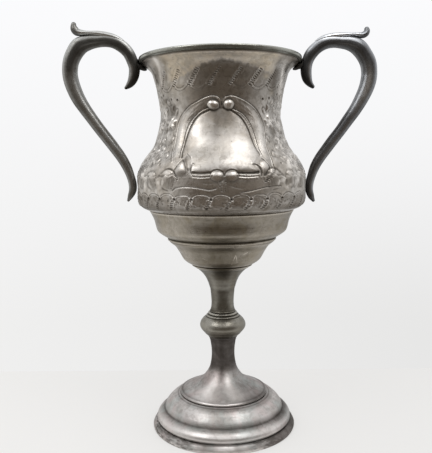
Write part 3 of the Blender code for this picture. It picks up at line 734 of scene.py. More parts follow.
def cartouche(rel, turn):
    """Shaped panel with a double frame, bosses above and below, and pinched
    lobes at its lower corners."""
    def at(path):
        return [(turn + a, z) for a, z in path]

    # the strap between the frames stands up a little
    for strap in ([(-3.0, 203.4), (-9.0, 202.8), (-16.0, 200.8), (-24.0, 198.0), (-31.0, 194.0), (-35.2, 188.6), (-35.8, 182.0), (-35.0, 176.0), (-33.0, 170.6)],
                  [(4.4, 203.2), (12.0, 202.2), (20.0, 199.8), (27.0, 196.6), (32.4, 192.0), (34.6, 187.0), (34.4, 181.0), (33.4, 175.0), (32.6, 169.4)]):
        rel.ridge(at(strap), 0.42, 2.3, taper=4.0)
    rel.line(at(OUTER_L), 0.36, 0.22, ridge=0.26, ridge_side=-1, offset=0.58)
    rel.line(at(OUTER_R), 0.36, 0.22, ridge=0.26, ridge_side=1, offset=0.58)
    for path in (OUTER_L[:6], OUTER_R[:6]):
        rel.ridge(at([(a, z - 0.55) for a, z in path]), 0.12, 0.28)
        # painted highlight just under the tops of the outer lines
        rel.trace(at([(a, z - 0.6) for a, z in path]), 0.22, 0.30, what="rub")
    rel.line(at(INNER_L1), 0.24, 0.22, ridge=0.22, ridge_side=-1, offset=0.55)
    rel.line(at(INNER_L2), 0.42, 0.25, ridge=0.20, ridge_side=1, offset=0.62)
    rel.line(at(INNER_R1), 0.26, 0.22, ridge=0.20, ridge_side=1, offset=0.5)
    rel.line(at(INNER_R2), 0.40, 0.24, ridge=0.20, ridge_side=-1, offset=0.58)
    rel.trace(at(INNER_L2), 0.35, 0.5)
    rel.trace(at(INNER_R2), 0.35, 0.5)
    # rope of small blows between the two lines, on the upper curves
    for path, lean in (([(-11.0, 198.6), (-15.0, 197.7), (-19.0, 196.2), (-22.6, 193.8), (-25.6, 191.2)], -40),
                       ([(12.0, 197.6), (16.0, 196.2), (20.0, 194.4), (23.4, 191.6), (25.6, 188.4)], 40)):
        line = spline(at(path), 1.4)
        for a, z in line:
            rel.punch(a, z, 0.15, 0.42, 0.18, lean)

    # faint hatching across the strap beside the bosses
    for k in range(16):
        for side in (-1, 1):
            a = side * (10.0 + 1.15 * k) + rng.normal(0, 0.2)
            z = np.interp(abs(a), [8, 14, 20, 26, 30], [203.4, 201.6, 199.4, 197.0, 194.4]) + rng.normal(0, 0.2)
            rel.punch(turn + a, z, 0.11, 1.5, 0.17, side * 62 + rng.normal(0, 5), lip=0.5)

    # the panel swells a little inside its frame, and is not quite even
    rows = np.where((rel.p[:, 1] > 162.0) & (rel.p[:, 1] < 203.0))[0]
    z = rel.p[rows, 1][:, None]
    zl = np.array([198.6, 198.2, 195.5, 192.4, 188.2, 182.9, 178.0, 174.2, 171.6, 168.0, 165.0, 163.4])
    left = np.array([-2.0, -8.6, -18.5, -23.1, -26.4, -28.6, -29.3, -28.9, -27.6, -21.0, -18.6, -18.0])
    zr = np.array([198.6, 197.7, 194.4, 191.0, 186.7, 181.0, 175.9, 172.8, 170.0, 167.4, 164.4, 163.4])
    right = np.array([2.0, 9.0, 16.4, 20.5, 23.3, 25.3, 27.0, 27.6, 24.0, 21.0, 22.6, 23.4])
    x = ((rel.phi[None, :] - turn + 180) % 360 - 180)
    lo, hi = np.interp(-z, -zl, left, left=0.0), np.interp(-z, -zr, right, left=0.0)
    inside = np.minimum(np.minimum((x - lo) * 0.70, (hi - x) * 0.70), np.minimum((z - 163.6) * 1.2, (199.0 - z) * 0.9))
    inside = np.clip(inside, 0, None)
    flat = 1.0 - 0.6 * ramp(-x, -2.0, 8.0) * ramp(-z, -172.0, -166.0)
    rel.h[rows] += 0.55 * flat * (1 - np.exp(-inside / 2.6))
    soft = 1 - np.exp(-inside / 3.0)
    rel.dull[rows] += soft
    rel.h[rows] += soft * (0.055 * np.sin(x * 0.30 + 0.9) * np.cos((z - 182.0) * 0.36) + 0.030 * np.sin(x * 0.52 - (z - 180.0) * 0.40 + 1.0) + 0.022 * np.cos((z - 176.0) * 0.62 + 0.12 * x))

    # bosses at the top of the frame, set on small leaves
    for a, z0, rx, ry in ((-6.3, 200.6, 3.3, 2.6), (7.0, 200.8, 2.8, 2.8)):
        side = 1 if a > 0 else -1
        # a darker patch round each boss and a painted highlight high on its left
        rel.soft(turn + a - 0.4 * side, z0 - 0.7, rx * 1.5, ry * 1.3, 0.26)
        rel.lobe(turn + a, z0, rx * 1.06, ry * 1.06, 1.35, power=0.9, turn=side * -12)
        rel.soft(turn + a - 0.9, z0 + 0.8, rx * 0.62, ry * 0.50, 1.3, what="rub")
        r = rel.radius(z0)
        under = [(turn + a + math.degrees(1.1 * rx * math.cos(t) / r), z0 - 1.12 * ry * math.sin(t)) for t in np.linspace(-0.2, math.pi + 0.2, 11)]
        rel.line(under, 0.10, 0.30, taper=1.2)
        for t in (-0.55, 0.0, 0.5):
            rel.line([(turn + a + math.degrees(t * rx / r), z0 + 0.6 * ry), (turn + a + math.degrees(1.35 * t * rx / r), z0 - 0.5 * ry)], 0.10, 0.22, taper=1.2)
    for notch in ([(-1.6, 205.0), (0.0, 203.9), (0.8, 202.3), (1.0, 200.2)], [(3.2, 204.8), (1.9, 203.8), (1.3, 202.5), (1.1, 200.6)]):
        notch = [(turn + a, z) for a, z in notch]
        rel.line(notch, 0.30, 0.24, ridge=0.14, offset=0.45)
        rel.trace(notch, 0.22, 0.4)
    for lit in ([(-3.4, 204.9), (-1.6, 204.2), (-0.5, 203.1)], [(4.9, 204.8), (3.3, 204.1), (2.3, 203.0)]):
        rel.trace([(turn + a, z) for a, z in lit], 0.75, 0.32, what="rub")

    # bosses at the middle of its foot, each under a dark scalloped arch
    for a, z0 in ((-2.7, 161.2), (6.5, 161.2)):
        r = rel.radius(z0)
        rel.lobe(turn + a, z0 - 0.1, 3.6, 2.9, 0.80, power=1.05)
        arch = [(turn + a + math.degrees(3.9 * math.cos(t) / r), z0 + 0.3 + 3.1 * math.sin(t)) for t in np.linspace(-0.15, math.pi + 0.05, 13)]
        rel.line(arch, 0.36, 0.26, ridge=0.14, ridge_side=0, offset=0.5)
        rel.trace(arch, 0.6, 0.45)
        # painted highlight on each boss's top and painted shade below it
        rel.soft(turn + a - 0.4, z0 + 0.9, 1.7, 1.0, 0.35, what="rub")
        rel.soft(turn + a, z0 - 2.5, 3.0, 0.9, 0.35)

    # recessed slots under the panel, with a double bead below them
    for lo, hi, dark_end in ((-17.6, -6.6, -17.0), (10.6, 23.4, 22.8)):
        mid = (lo + hi) / 2
        deep = 1.0 if lo > 0 else 0.5
        rel.line([(turn + lo, 163.1), (turn + mid, 162.75), (turn + hi, 163.1)], 0.80 * deep, 0.62 * deep ** 0.5)
        rel.trace([(turn + lo, 163.0), (turn + mid, 162.7), (turn + hi, 163.0)], 0.8 * deep, 0.5)
        rel.soft(turn + dark_end, 163.2, 1.6, 0.8, 0.9)
        rel.ridge([(turn + lo - 0.4, 162.0), (turn + mid, 161.55), (turn + hi + 0.8, 161.9)], 0.44, 0.34)
        rel.line([(turn + lo + 0.6, 161.0), (turn + mid, 160.75), (turn + hi - 0.4, 161.0)], 0.34, 0.22)
        rel.ridge([(turn + lo + 0.6, 160.3), (turn + mid, 159.95), (turn + hi - 0.6, 160.3)], 0.34, 0.34)
    # upturned ends of the bottom moulding
    rel.line([(turn - 18.3, 168.0), (turn - 19.0, 165.4), (turn - 18.9, 163.0), (turn - 17.4, 161.2)], 0.30, 0.24, ridge=0.30, ridge_side=1, offset=0.6)
    rel.punch(turn - 18.4, 168.2, 0.5, 0.5, 0.4, 20)
    rel.line([(turn + 20.6, 167.5), (turn + 22.6, 167.4), (turn + 24.6, 165.9), (turn + 25.6, 163.6), (turn + 25.2, 160.8)], 0.42, 0.25, ridge=0.34, ridge_side=-1, offset=0.65)
    rel.trace([(turn + 20.6, 167.5), (turn + 22.6, 167.4), (turn + 24.6, 165.9)], 0.5, 0.4)

    # lower left corner: a bell-shaped lobe, a flat leaf and the crease between
    rel.lobe(turn - 25.7, 165.6, 3.6, 4.4, 0.62, turn=-4, skew=-0.42, power=0.95)
    rel.line([(turn - 26.6, 170.6), (turn - 28.6, 168.2), (turn - 30.6, 165.2), (turn - 31.6, 162.6)], 0.15, 0.26, ridge=0.12, ridge_side=1, offset=0.5)
    rel.line([(turn - 26.2, 170.4), (turn - 24.2, 168.2), (turn - 22.6, 165.6), (turn - 21.8, 162.8)], 0.18, 0.26, ridge=0.16, ridge_side=-1, offset=0.5)
    # painted shade on the lobe's lower half and a painted highlight on its top
    rel.soft(turn - 25.6, 163.2, 3.0, 2.3, 0.70)
    rel.soft(turn - 26.4, 167.6, 2.0, 1.6, 0.45, what="rub")
    rel.lobe(turn - 21.6, 168.6, 2.2, 4.6, 0.34, turn=-22, power=0.6)
    rel.soft(turn - 21.8, 168.4, 2.5, 4.6, 0.80, turn=-18, hard=2.2)
    rel.line([(turn - 24.6, 173.4), (turn - 21.6, 172.0), (turn - 19.2, 168.8), (turn - 18.6, 165.2)], 0.12, 0.22, ridge=0.16, ridge_side=1, offset=0.45)
    rel.row((turn - 24.0, 173.6), (turn - 19.8, 171.0), 5, 0.24, 0.34, 0.22, 60)
    # painted highlight along the flat leaf's right edge, painted shade in the crease on its left
    rel.trace([(turn - 20.4, 171.6), (turn - 18.8, 168.8), (turn - 18.2, 165.4)], 0.65, 0.42, what="rub")
    rel.trace([(turn - 24.2, 172.6), (turn - 23.4, 169.0), (turn - 21.6, 165.0)], 0.45, 0.45)
    rel.row((turn - 30.6, 163.6), (turn - 27.6, 159.6), 6, 0.36, 0.72, 0.26, -30)
    rel.soft(turn - 29.0, 161.6, 1.6, 2.2, 0.5)
    # lower right corner: bright lobe under a hook, with a row of dark blows
    rel.lobe(turn + 28.4, 166.2, 3.1, 4.3, 0.72, turn=14, skew=0.12, power=0.95)
    # a faint painted highlight on the lobe, painted shade dimming it and below it
    rel.soft(turn + 28.0, 168.0, 2.0, 2.2, 0.12, what="rub")
    rel.soft(turn + 28.4, 166.4, 3.6, 4.8, 1.0, what="dull")
    rel.soft(turn + 28.6, 166.0, 3.2, 4.4, 0.16)
    rel.lobe(turn + 33.0, 163.8, 2.8, 3.0, 0.22, turn=30, power=0.9)
    rel.line([(turn + 28.4, 171.0), (turn + 30.8, 168.4), (turn + 32.0, 165.0), (turn + 31.2, 162.4)], 0.30, 0.24, ridge=0.2, ridge_side=-1, offset=0.5)
    rel.soft(turn + 28.6, 162.8, 2.6, 1.6, 0.55)
    rel.row((turn + 36.0, 164.2), (turn + 28.2, 157.8), 9, 0.50, 0.95, 0.28, 15)
    rel.trace([(turn + 36.0, 164.2), (turn + 28.2, 157.8)], 0.5, 0.8)

    # long scrolls below, running out from a small leaf
    left = [(-3.4, 154.6), (-7.1, 153.9), (-10.1, 154.3), (-13.2, 154.8), (-17.4, 155.3), (-21.9, 155.5), (-26.0, 155.3), (-29.2, 154.7), (-31.3, 153.4)]
    right = [(12.0, 152.2), (16.1, 152.7), (20.4, 153.4), (24.8, 154.3), (30.0, 155.0), (37.0, 155.4), (40.3, 155.1)]
    rel.line(at(left), 0.24, 0.34, ridge=0.10, ridge_side=-1, offset=0.95)
    rel.line(at(right), 0.26, 0.32, ridge=0.13, ridge_side=1, offset=0.90)
    rel.trace(at(left), 0.25, 0.4)
    rel.trace(at(right), 0.25, 0.4)
    # small hatched drop between the scrolls
    rel.lobe(turn + 0.9, 155.9, 2.0, 3.0, 0.22, power=0.9)
    rel.soft(turn + 0.9, 155.9, 2.2, 3.2, 0.45)
    rel.row((turn - 0.6, 158.2), (turn + 0.2, 153.2), 6, 0.30, 0.8, 0.26, 30, jitter=0.2)
    rel.row((turn + 2.4, 158.0), (turn + 1.6, 153.0), 5, 0.26, 0.7, 0.26, -35, jitter=0.2)
    rel.line([(turn + 3.6, 156.8), (turn + 7.6, 155.2), (turn + 12.0, 154.4), (turn + 15.6, 154.9)], 0.14, 0.24, taper=3.0)
    rel.line([(turn - 3.8, 157.6), (turn - 8.0, 157.2), (turn - 12.4, 157.6)], 0.14, 0.22, taper=2.0)


def leaf(rel, phi, z, length, width, turn, height=0.5):
    """Pointed leaf with a chased midrib and two veins."""
    rel.lobe(phi, z, length / 2, width / 2, height, turn=turn, edge=0.20, power=0.8)
    r = rel.radius(z)
    c, s = math.cos(math.radians(turn)), math.sin(math.radians(turn))

    def place(u, v):
        x, y = c * u - s * v, s * u + c * v
        return (phi + math.degrees(x / r), z - y)

    h = length / 2
    rel.line([place(-0.9 * h, 0), place(0.0, 0.08 * width), place(0.95 * h, 0)], 0.18, 0.2)
    for k in (-0.35, 0.15):
        for v in (-1, 1):
            rel.line([place(k * h, 0), place((k + 0.38) * h, v * 0.36 * width)], 0.12, 0.18)


def blossom(rel, phi, z, radius, petals, height, start=0.0):
    """Soft open flower: a swelling with short chased strokes between petals."""
    r = rel.radius(z)
    rel.lobe(phi, z, radius, radius * 0.92, height, power=0.9)
    for k in range(petals):
        a = math.radians(start + 360.0 * k / petals)
        dx, dy = radius * math.cos(a), radius * math.sin(a)
        rel.lobe(phi + math.degrees(0.78 * dx / r), z + 0.78 * dy, radius * 0.46, radius * 0.34, height * 0.55, turn=-math.degrees(a), power=0.8)
        b = a + math.pi / petals
        dx, dy = radius * math.cos(b), radius * math.sin(b)
        rel.line([(phi + math.degrees(0.35 * dx / r), z + 0.35 * dy), (phi + math.degrees(1.05 * dx / r), z + 1.05 * dy)], 0.22, 0.22, taper=0.8)
    rel.punch(phi, z, 0.2, 0.5, 0.5, 0)


def shell(rel, phi, z, side, size=1.0, tilt=0.0):
    """Hooded bud: a rounded body, a cap drawn with a double arc, a wavy lip
    below it and two arcs down its outer side."""
    r = rel.radius(z)

    def p(x, y):
        c, s = math.cos(math.radians(tilt)), math.sin(math.radians(tilt))
        x, y = (c * x - s * y) * size, (s * x + c * y) * size
        return (phi + math.degrees(side * x / r), z + y)

    rel.lobe(phi, z - 1.0, 4.6 * size, 3.9 * size, 0.42, power=0.6, round_=2.6)
    rel.lobe(phi, z + 3.2 * size, 4.4 * size, 2.2 * size, 0.40, power=0.7)
    rel.line([p(-4.6, 3.2), p(-2.6, 5.2), p(0.4, 5.9), p(3.4, 5.0), p(5.6, 3.2)], 0.32, 0.28, ridge=0.24, ridge_side=side, offset=0.7)
    rel.line([p(-5.6, 1.6), p(-3.4, 2.9), p(-0.8, 1.7), p(1.6, 2.6), p(4.2, 1.5), p(6.6, 1.9), p(8.4, 1.0)], 0.36, 0.26, ridge=0.34, ridge_side=side, offset=0.65)
    rel.line([p(8.8, 2.4), p(10.0, 0.0), p(9.6, -3.4)], 0.24, 0.22, ridge=0.2, ridge_side=side, offset=0.5)
    rel.line([p(4.2, 0.4), p(5.2, -2.4), p(3.2, -5.2), p(-0.6, -6.2)], 0.26, 0.22, ridge=0.18, ridge_side=side, offset=0.5)
    # painted shade on the bud's body under the cap, painted highlight on the cap
    rel.soft(phi, z - 1.6, 4.0 * size, 3.4 * size, 0.85, hard=1.3)
    rel.soft(phi, z + 3.4 * size, 3.2 * size, 1.2 * size, 0.3, what="rub")
    for v in (-0.75, -0.4, -0.05, 0.3, 0.65):
        rel.line([p(v * 5.0, 1.2), p(v * 4.4, -1.4), p(v * 3.2, -4.4)], 0.20, 0.26, taper=1.5)
    rel.row(p(-5.0, 0.6), p(-3.0, -5.0), 6, 0.34, 0.5, 0.26, 20 * side, jitter=0.15)
    rel.row(p(5.6, 3.4), p(9.6, 0.6), 5, 0.30, 0.5, 0.26, -30 * side, jitter=0.15)
    rel.row(p(-3.6, 4.0), p(3.6, 4.0), 5, 0.18, 0.24, 0.5, 0, jitter=0.2)


def foliage(rel, turn, side):
    """Sprays of flowers and leaves that fill the sides between the panels."""
    shift = 0.0 if side < 0 else -1.5

    def p(a, z):
        return (turn + side * (a + shift), z)

    def lf(a, z, length, width, ang, height=0.5):
        phi, zz = p(a, z)
        leaf(rel, phi, zz, length, width, ang if side > 0 else 180 - ang, height)

    # stems
    for path in ([(61, 152.8), (57, 157), (51, 163), (46.0, 170), (45.6, 177), (49.6, 183), (53.6, 188.2), (52, 195), (48.6, 201), (47.0, 206)],
                 [(51, 163), (58, 167.6), (66, 169.6), (72, 175), (72.6, 182), (68, 187)],
                 [(72.6, 182), (76, 189), (74.6, 196), (69, 200.6)],
                 [(59.0, 184.0), (52.0, 180.0), (45.0, 176.0)]):
        rel.line([p(a, z) for a, z in path], 0.20, 0.22, ridge=0.15, ridge_side=0, offset=0.48)
    # flowers and buds
    for a, z, radius, petals, height, start in ((49.2, 191.6, 3.9, 5, 0.55, 20), (49.8, 199.9, 2.2, 4, 0.45, 45), (67.4, 189.4, 3.8, 6, 0.5, 0), (69.0, 173.2, 4.2, 6, 0.55, 15), (55.0, 171.0, 3.2, 5, 0.45, 30)):
        phi, zz = p(a, z)
        blossom(rel, phi, zz, radius, petals, height, start)
    # darker patches among the sprays, and painted highlights on the large flower
    rel.soft(*p(50.0, 199.6), 3.0, 3.0, 0.6)
    rel.soft(*p(59.0, 205.0), 3.0, 2.6, 0.45)
    rel.soft(*p(52.0, 187.0), 3.4, 2.4, 0.45)
    rel.soft(*p(68.0, 194.0), 3.0, 4.0, 0.35)
    rel.soft(*p(61.0, 176.0), 3.0, 3.4, 0.30)
    rel.soft(*p(46.0, 194.5), 2.0, 2.0, 0.40, what="rub")
    rel.soft(*p(50.0, 191.4), 1.8, 1.6, 0.55, what="rub")
    rel.soft(*p(54.8, 186.6), 1.6, 2.4, 0.6)
    rel.soft(*p(56.6, 196.0), 1.6, 3.0, 0.5)
    # leaves
    for a, z, length, width, ang, height in (
            (44.2, 197.6, 4.6, 2.3, 60, 0.34), (54.6, 203.4, 5.0, 2.6, 140, 0.36), (60.4, 198.6, 5.6, 2.8, 40, 0.36),
            (57.2, 192.6, 4.6, 2.4, 150, 0.32), (56.4, 181.6, 5.4, 2.8, 30, 0.36), (62.6, 180.4, 5.2, 2.6, 100, 0.34), (52.0, 177.4, 6.2, 3.0, 150, 0.4),
            (44.0, 182.2, 4.2, 2.0, 75, 0.3), (42.4, 173.4, 4.6, 2.2, 115, 0.3), (58.4, 175.6, 5.8, 3.0, 20, 0.36), (48.8, 170.2, 4.8, 2.4, 60, 0.34),
            (78.6, 180.6, 5.2, 2.6, 60, 0.34), (80.2, 171.6, 5.4, 2.8, 120, 0.34), (80.4, 192.4, 5.0, 2.6, 110, 0.34), (74.6, 202.8, 5.0, 2.6, 35, 0.34),
            (65.6, 205.4, 4.6, 2.4, 120, 0.3), (83.0, 201.6, 4.4, 2.3, 70, 0.3), (62.8, 164.8, 5.4, 2.8, 165, 0.34), (76.4, 164.6, 5.6, 2.8, 15, 0.34)):
        lf(a, z, length, width, ang, height)
    # short engraved strokes along the stems
    for a0, z0, a1, z1, count, lean in ((44.0, 186.4, 47.8, 181.0, 6, 50), (58.6, 190.0, 57.0, 183.4, 7, 10), (47.4, 175.4, 50.6, 168.6, 7, 35),
                                        (63.4, 195.6, 62.6, 186.6, 8, -5), (60.6, 172.6, 66.6, 165.6, 8, 40), (76.6, 186.4, 82.6, 178.6, 8, 45), (52.6, 206.6, 60.6, 205.0, 6, 80)):
        b0, b1 = p(a0, z0), p(a1, z1)
        rel.row(b0, b1, count, 0.26, 0.6, 0.22, lean * side, jitter=0.2)
    # hooded buds along the panel's foot
    for a, z, size, tilt in ((35.3, 159.4, 1.0, 0), (51.0, 159.2, 0.85, 8), (64.4, 159.0, 0.85, -6), (78.4, 159.2, 0.9, 4)):
        phi, zz = p(a, z)
        shell(rel, phi, zz, side, size, tilt)
    # round punches in the open places
    for a, z in ((49.0, 205.3), (41.0, 204.5), (54.4, 188.2), (45.0, 168.0), (64.0, 193.8), (61.0, 208.0), (71.0, 208.4), (80.0, 208.2), (65.4, 176.6), (74.6, 168.0), (57.6, 178.8)):
        phi, zz = p(a, z)
        rel.punch(phi, zz, 0.55, 0.56, 0.56)
        rel.soft(phi, zz, 0.6, 0.6, 0.9)
    # matted ground: fine punching between the motifs
    taken = rel.h.copy()
    for k in range(400):
        a, z = rng.uniform(42.5, 86.0), rng.uniform(164.0, 206.0)
        edge = np.interp(z, [164, 176, 187, 193, 197, 202, 206], [37.0, 40.6, 43.0, 42.6, 38.0, 32.0, 22.0])
        if a < edge + 1.0:
            continue
        phi, zz = p(a, z)
        i = int(np.argmin(np.abs(rel.p[:, 1] - zz)))
        j = int(np.argmin(np.abs((rel.phi - phi + 180) % 360 - 180)))
        if abs(taken[i, j]) < 0.08:
            rel.punch(phi, zz, rng.uniform(0.08, 0.17), rng.uniform(0.28, 0.5), rng.uniform(0.2, 0.28), rng.uniform(0, 180), lip=0.2)


def tarnish(rel):
    """Brown clouds and rubbed places, with painted light: painted reflections
    and painted shade on the neck and the flare, painted shade under the lip
    and the top bosses, and painted highlights on the panel, the frame and the
    belly's sides.
    """
    z = rel.p[:, 1][:, None]
    for turn in (0.0, 180.0):
        x = ((rel.phi[None, :] - turn + 180) % 360 - 180)
        # neck: painted reflections, a darker patch on the front with a fairly sharp
        # slanting upper edge for the dark room and a tan band above it under the lip
        # for the table, with painted shade and tan spots on either side
        top = np.interp(x, [-60, -30, -14, 2, 16, 33, 47, 60], [212.0, 217.2, 222.6, 225.2, 223.4, 220.6, 218.4, 215.0])
        top = top + 0.35 * np.sin(x * 0.9 + 1.0) + 0.25 * np.sin(x * 2.1)
        patch = np.clip((top - z) / 0.9, 0, 1) * np.clip((z - 203.0) / 7.0, 0, 1)
        lip_band = np.clip((z - top) / 0.9, 0, 1) * ramp(-z, -228.9, -228.2) * np.clip((50.0 - np.abs(x)) / 8.0, 0, 1)
        rel.film += 0.97 * lip_band * (0.82 + 0.18 * np.sin(x * 0.45 + 2.0) * np.sin(z * 1.3))
        rel.stain += 0.34 * bell(x, -48.0, 15.0) * bell(z, 214.0, 10.0) + 0.14 * bell(x, 52.0, 12.0) * bell(z, 212.0, 8.0)
        rel.film += 0.30 * bell(x, -40.0, 12.0) * bell(z, 215.0, 7.0) + 0.60 * bell(x, 41.0, 3.2) * bell(z, 217.2, 1.3) + 0.30 * bell(x, 50.0, 3.0) * bell(z, 208.6, 1.6)
        # painted shade under the lip, deepest at the sides towards the handles, and on the front at the neck's top
        rel.stain += 0.75 * ramp(z, 228.3, 229.2) + 0.70 * ramp(np.abs(x), 50.0, 66.0) * ramp(-np.abs(x), -114.0, -98.0) * ramp(z, 225.4, 228.0)
        rel.soft(turn + 2.6, 224.2, 7.0, 1.5, 0.55)
        # a dark and a bright painted reflection down the neck on the right
        rel.stain += 0.70 * bell(x, 52.0, 5.0) * ramp(z, 204.0, 209.0) * ramp(-z, -224.0, -220.0)
        rel.rub += 0.50 * ramp(x, 59.0, 63.0) * ramp(-x, -74.0, -68.0) * ramp(z, 206.0, 210.0) * ramp(-z, -223.0, -219.0)
        # painted highlight across the front of the tan band, painted shade on its left end
        rel.rub += 0.32 * lip_band * bell(x, 2.0, 24.0)
        rel.stain += 0.34 * lip_band * bell(x, -46.0, 11.0)
        side = np.clip((x + 36.0) / 16.0, 0, 1) * np.clip((58.0 - x) / 12.0, 0, 1)
        rel.stain += 0.36 * (patch * side) + 0.16 * bell(z - top, -0.9, 0.8) * side
        # painted highlights: the lower belly between the bottom moulding and the fluted band, and the sides of the body
        # higher up
        belly = np.clip((163.2 - z) / 2.5, 0, 1) * np.clip((z - 142.5) / 2.0, 0, 1)
        rel.rub += 0.10 * belly * np.clip((46.0 - np.abs(x)) / 20.0, 0, 1)
        rel.rub += 0.20 * ramp(x, 36.0, 46.0) * ramp(-x, -84.0, -70.0) * bell(z, 195.0, 9.0)
        rel.rub += 0.06 * ramp(-x, 36.0, 46.0) * ramp(x, -84.0, -70.0) * bell(z, 195.0, 9.0)
        rel.rub += 0.12 * ramp(-x, 40.0, 52.0) * ramp(x, -96.0, -80.0) * bell(z, 167.0, 5.0)
        # painted reflections: dark and bright streaks down the flare on both sides
        for a, z0, b, z1, c, z2, width, amount, what in (
                (-71.5, 226.6, -73.5, 222.0, -68.0, 216.0, 1.8, 1.0, "stain"), (-53.0, 227.6, -57.6, 222.6, -60.5, 216.0, 1.9, 0.55, "rub"),
                (-43.5, 227.6, -47.6, 222.6, -51.0, 217.5, 1.3, 0.55, "stain"), (67.2, 225.9, 68.6, 221.4, 70.0, 216.5, 1.8, 0.9, "stain"),
                (60.2, 224.3, 62.6, 219.6, 64.6, 214.6, 1.2, 0.6, "rub"), (50.0, 226.6, 50.6, 222.6, 51.4, 219.0, 2.2, 0.55, "stain")):
            rel.trace([(turn + a, z0), (turn + b, z1), (turn + c, z2)], amount, width, what=what)
        # painted shade under the top bosses
        rel.soft(turn - 1.5, 198.0, 8.5, 4.0, 0.30)
        # painted highlights on the sides of the belly and down the right strap of the frame
        rel.rub += 0.16 * bell(z, 172.0, 7.0) * ramp(np.abs(x), 44.0, 62.0) * ramp(-np.abs(x), -96.0, -78.0)
        rel.rub += 0.30 * bell(z, 170.0, 9.0) * ramp(x, 36.0, 50.0) * ramp(-x, -96.0, -78.0)
        rel.trace([(turn + 28.0, 194.0), (turn + 33.0, 189.0), (turn + 33.6, 183.0), (turn + 33.0, 176.0)], 0.60, 1.7, what="rub")
        # painted shade low on the left side and across the top of the panel
        rel.stain += 0.09 * bell(x, -52.0, 14.0) * bell(z, 156.0, 5.0)
        rel.soft(turn + 5.0, 192.5, 5.0, 4.6, 0.30)
        rel.soft(turn - 4.4, 190.0, 2.0, 6.0, 0.35)
        rel.soft(turn + 15.0, 195.0, 4.0, 3.0, 0.25)
        # painted highlights on the panel and down the left strap of the frame, with a narrow painted shade between
        rel.soft(turn - 20.0, 186.0, 4.4, 6.4, 0.42, what="rub")
        rel.soft(turn - 12.0, 181.0, 5.0, 4.0, 0.30, what="rub")
        rel.soft(turn + 14.0, 177.0, 6.5, 6.5, 0.34, what="rub")
        rel.soft(turn + 20.0, 173.0, 5.5, 7.0, 0.32, what="rub")
        rel.soft(turn + 2.0, 177.0, 9.0, 5.0, 0.14, what="rub")
        rel.soft(turn + 8.5, 182.5, 3.2, 4.2, 0.26, what="rub")
        rel.soft(turn - 1.8, 190.5, 2.6, 5.5, 0.20)
        rel.soft(turn + 3.0, 182.5, 3.0, 3.0, 0.30, what="rub")
        rel.trace([(turn - 35.0, 197.0), (turn - 36.2, 190.0), (turn - 36.4, 183.0), (turn - 35.4, 175.0)], 0.35, 1.6, what="rub")


def blurred(h, row_sigma, col_sigma):
    """Gaussian blur, periodic along the columns."""
    f = np.fft.fftfreq(h.shape[1])
    h = np.fft.ifft(np.fft.fft(h, axis=1) * np.exp(-2 * (math.pi * f * col_sigma) ** 2), axis=1).real
    pad = int(3 * row_sigma) + 1
    g = np.exp(-0.5 * (np.arange(-pad, pad + 1) / row_sigma) ** 2)
    g /= g.sum()
    wide = np.pad(h, ((pad, pad), (0, 0)), mode="edge")
    return sum(w * wide[k:k + h.shape[0]] for k, w in enumerate(g))


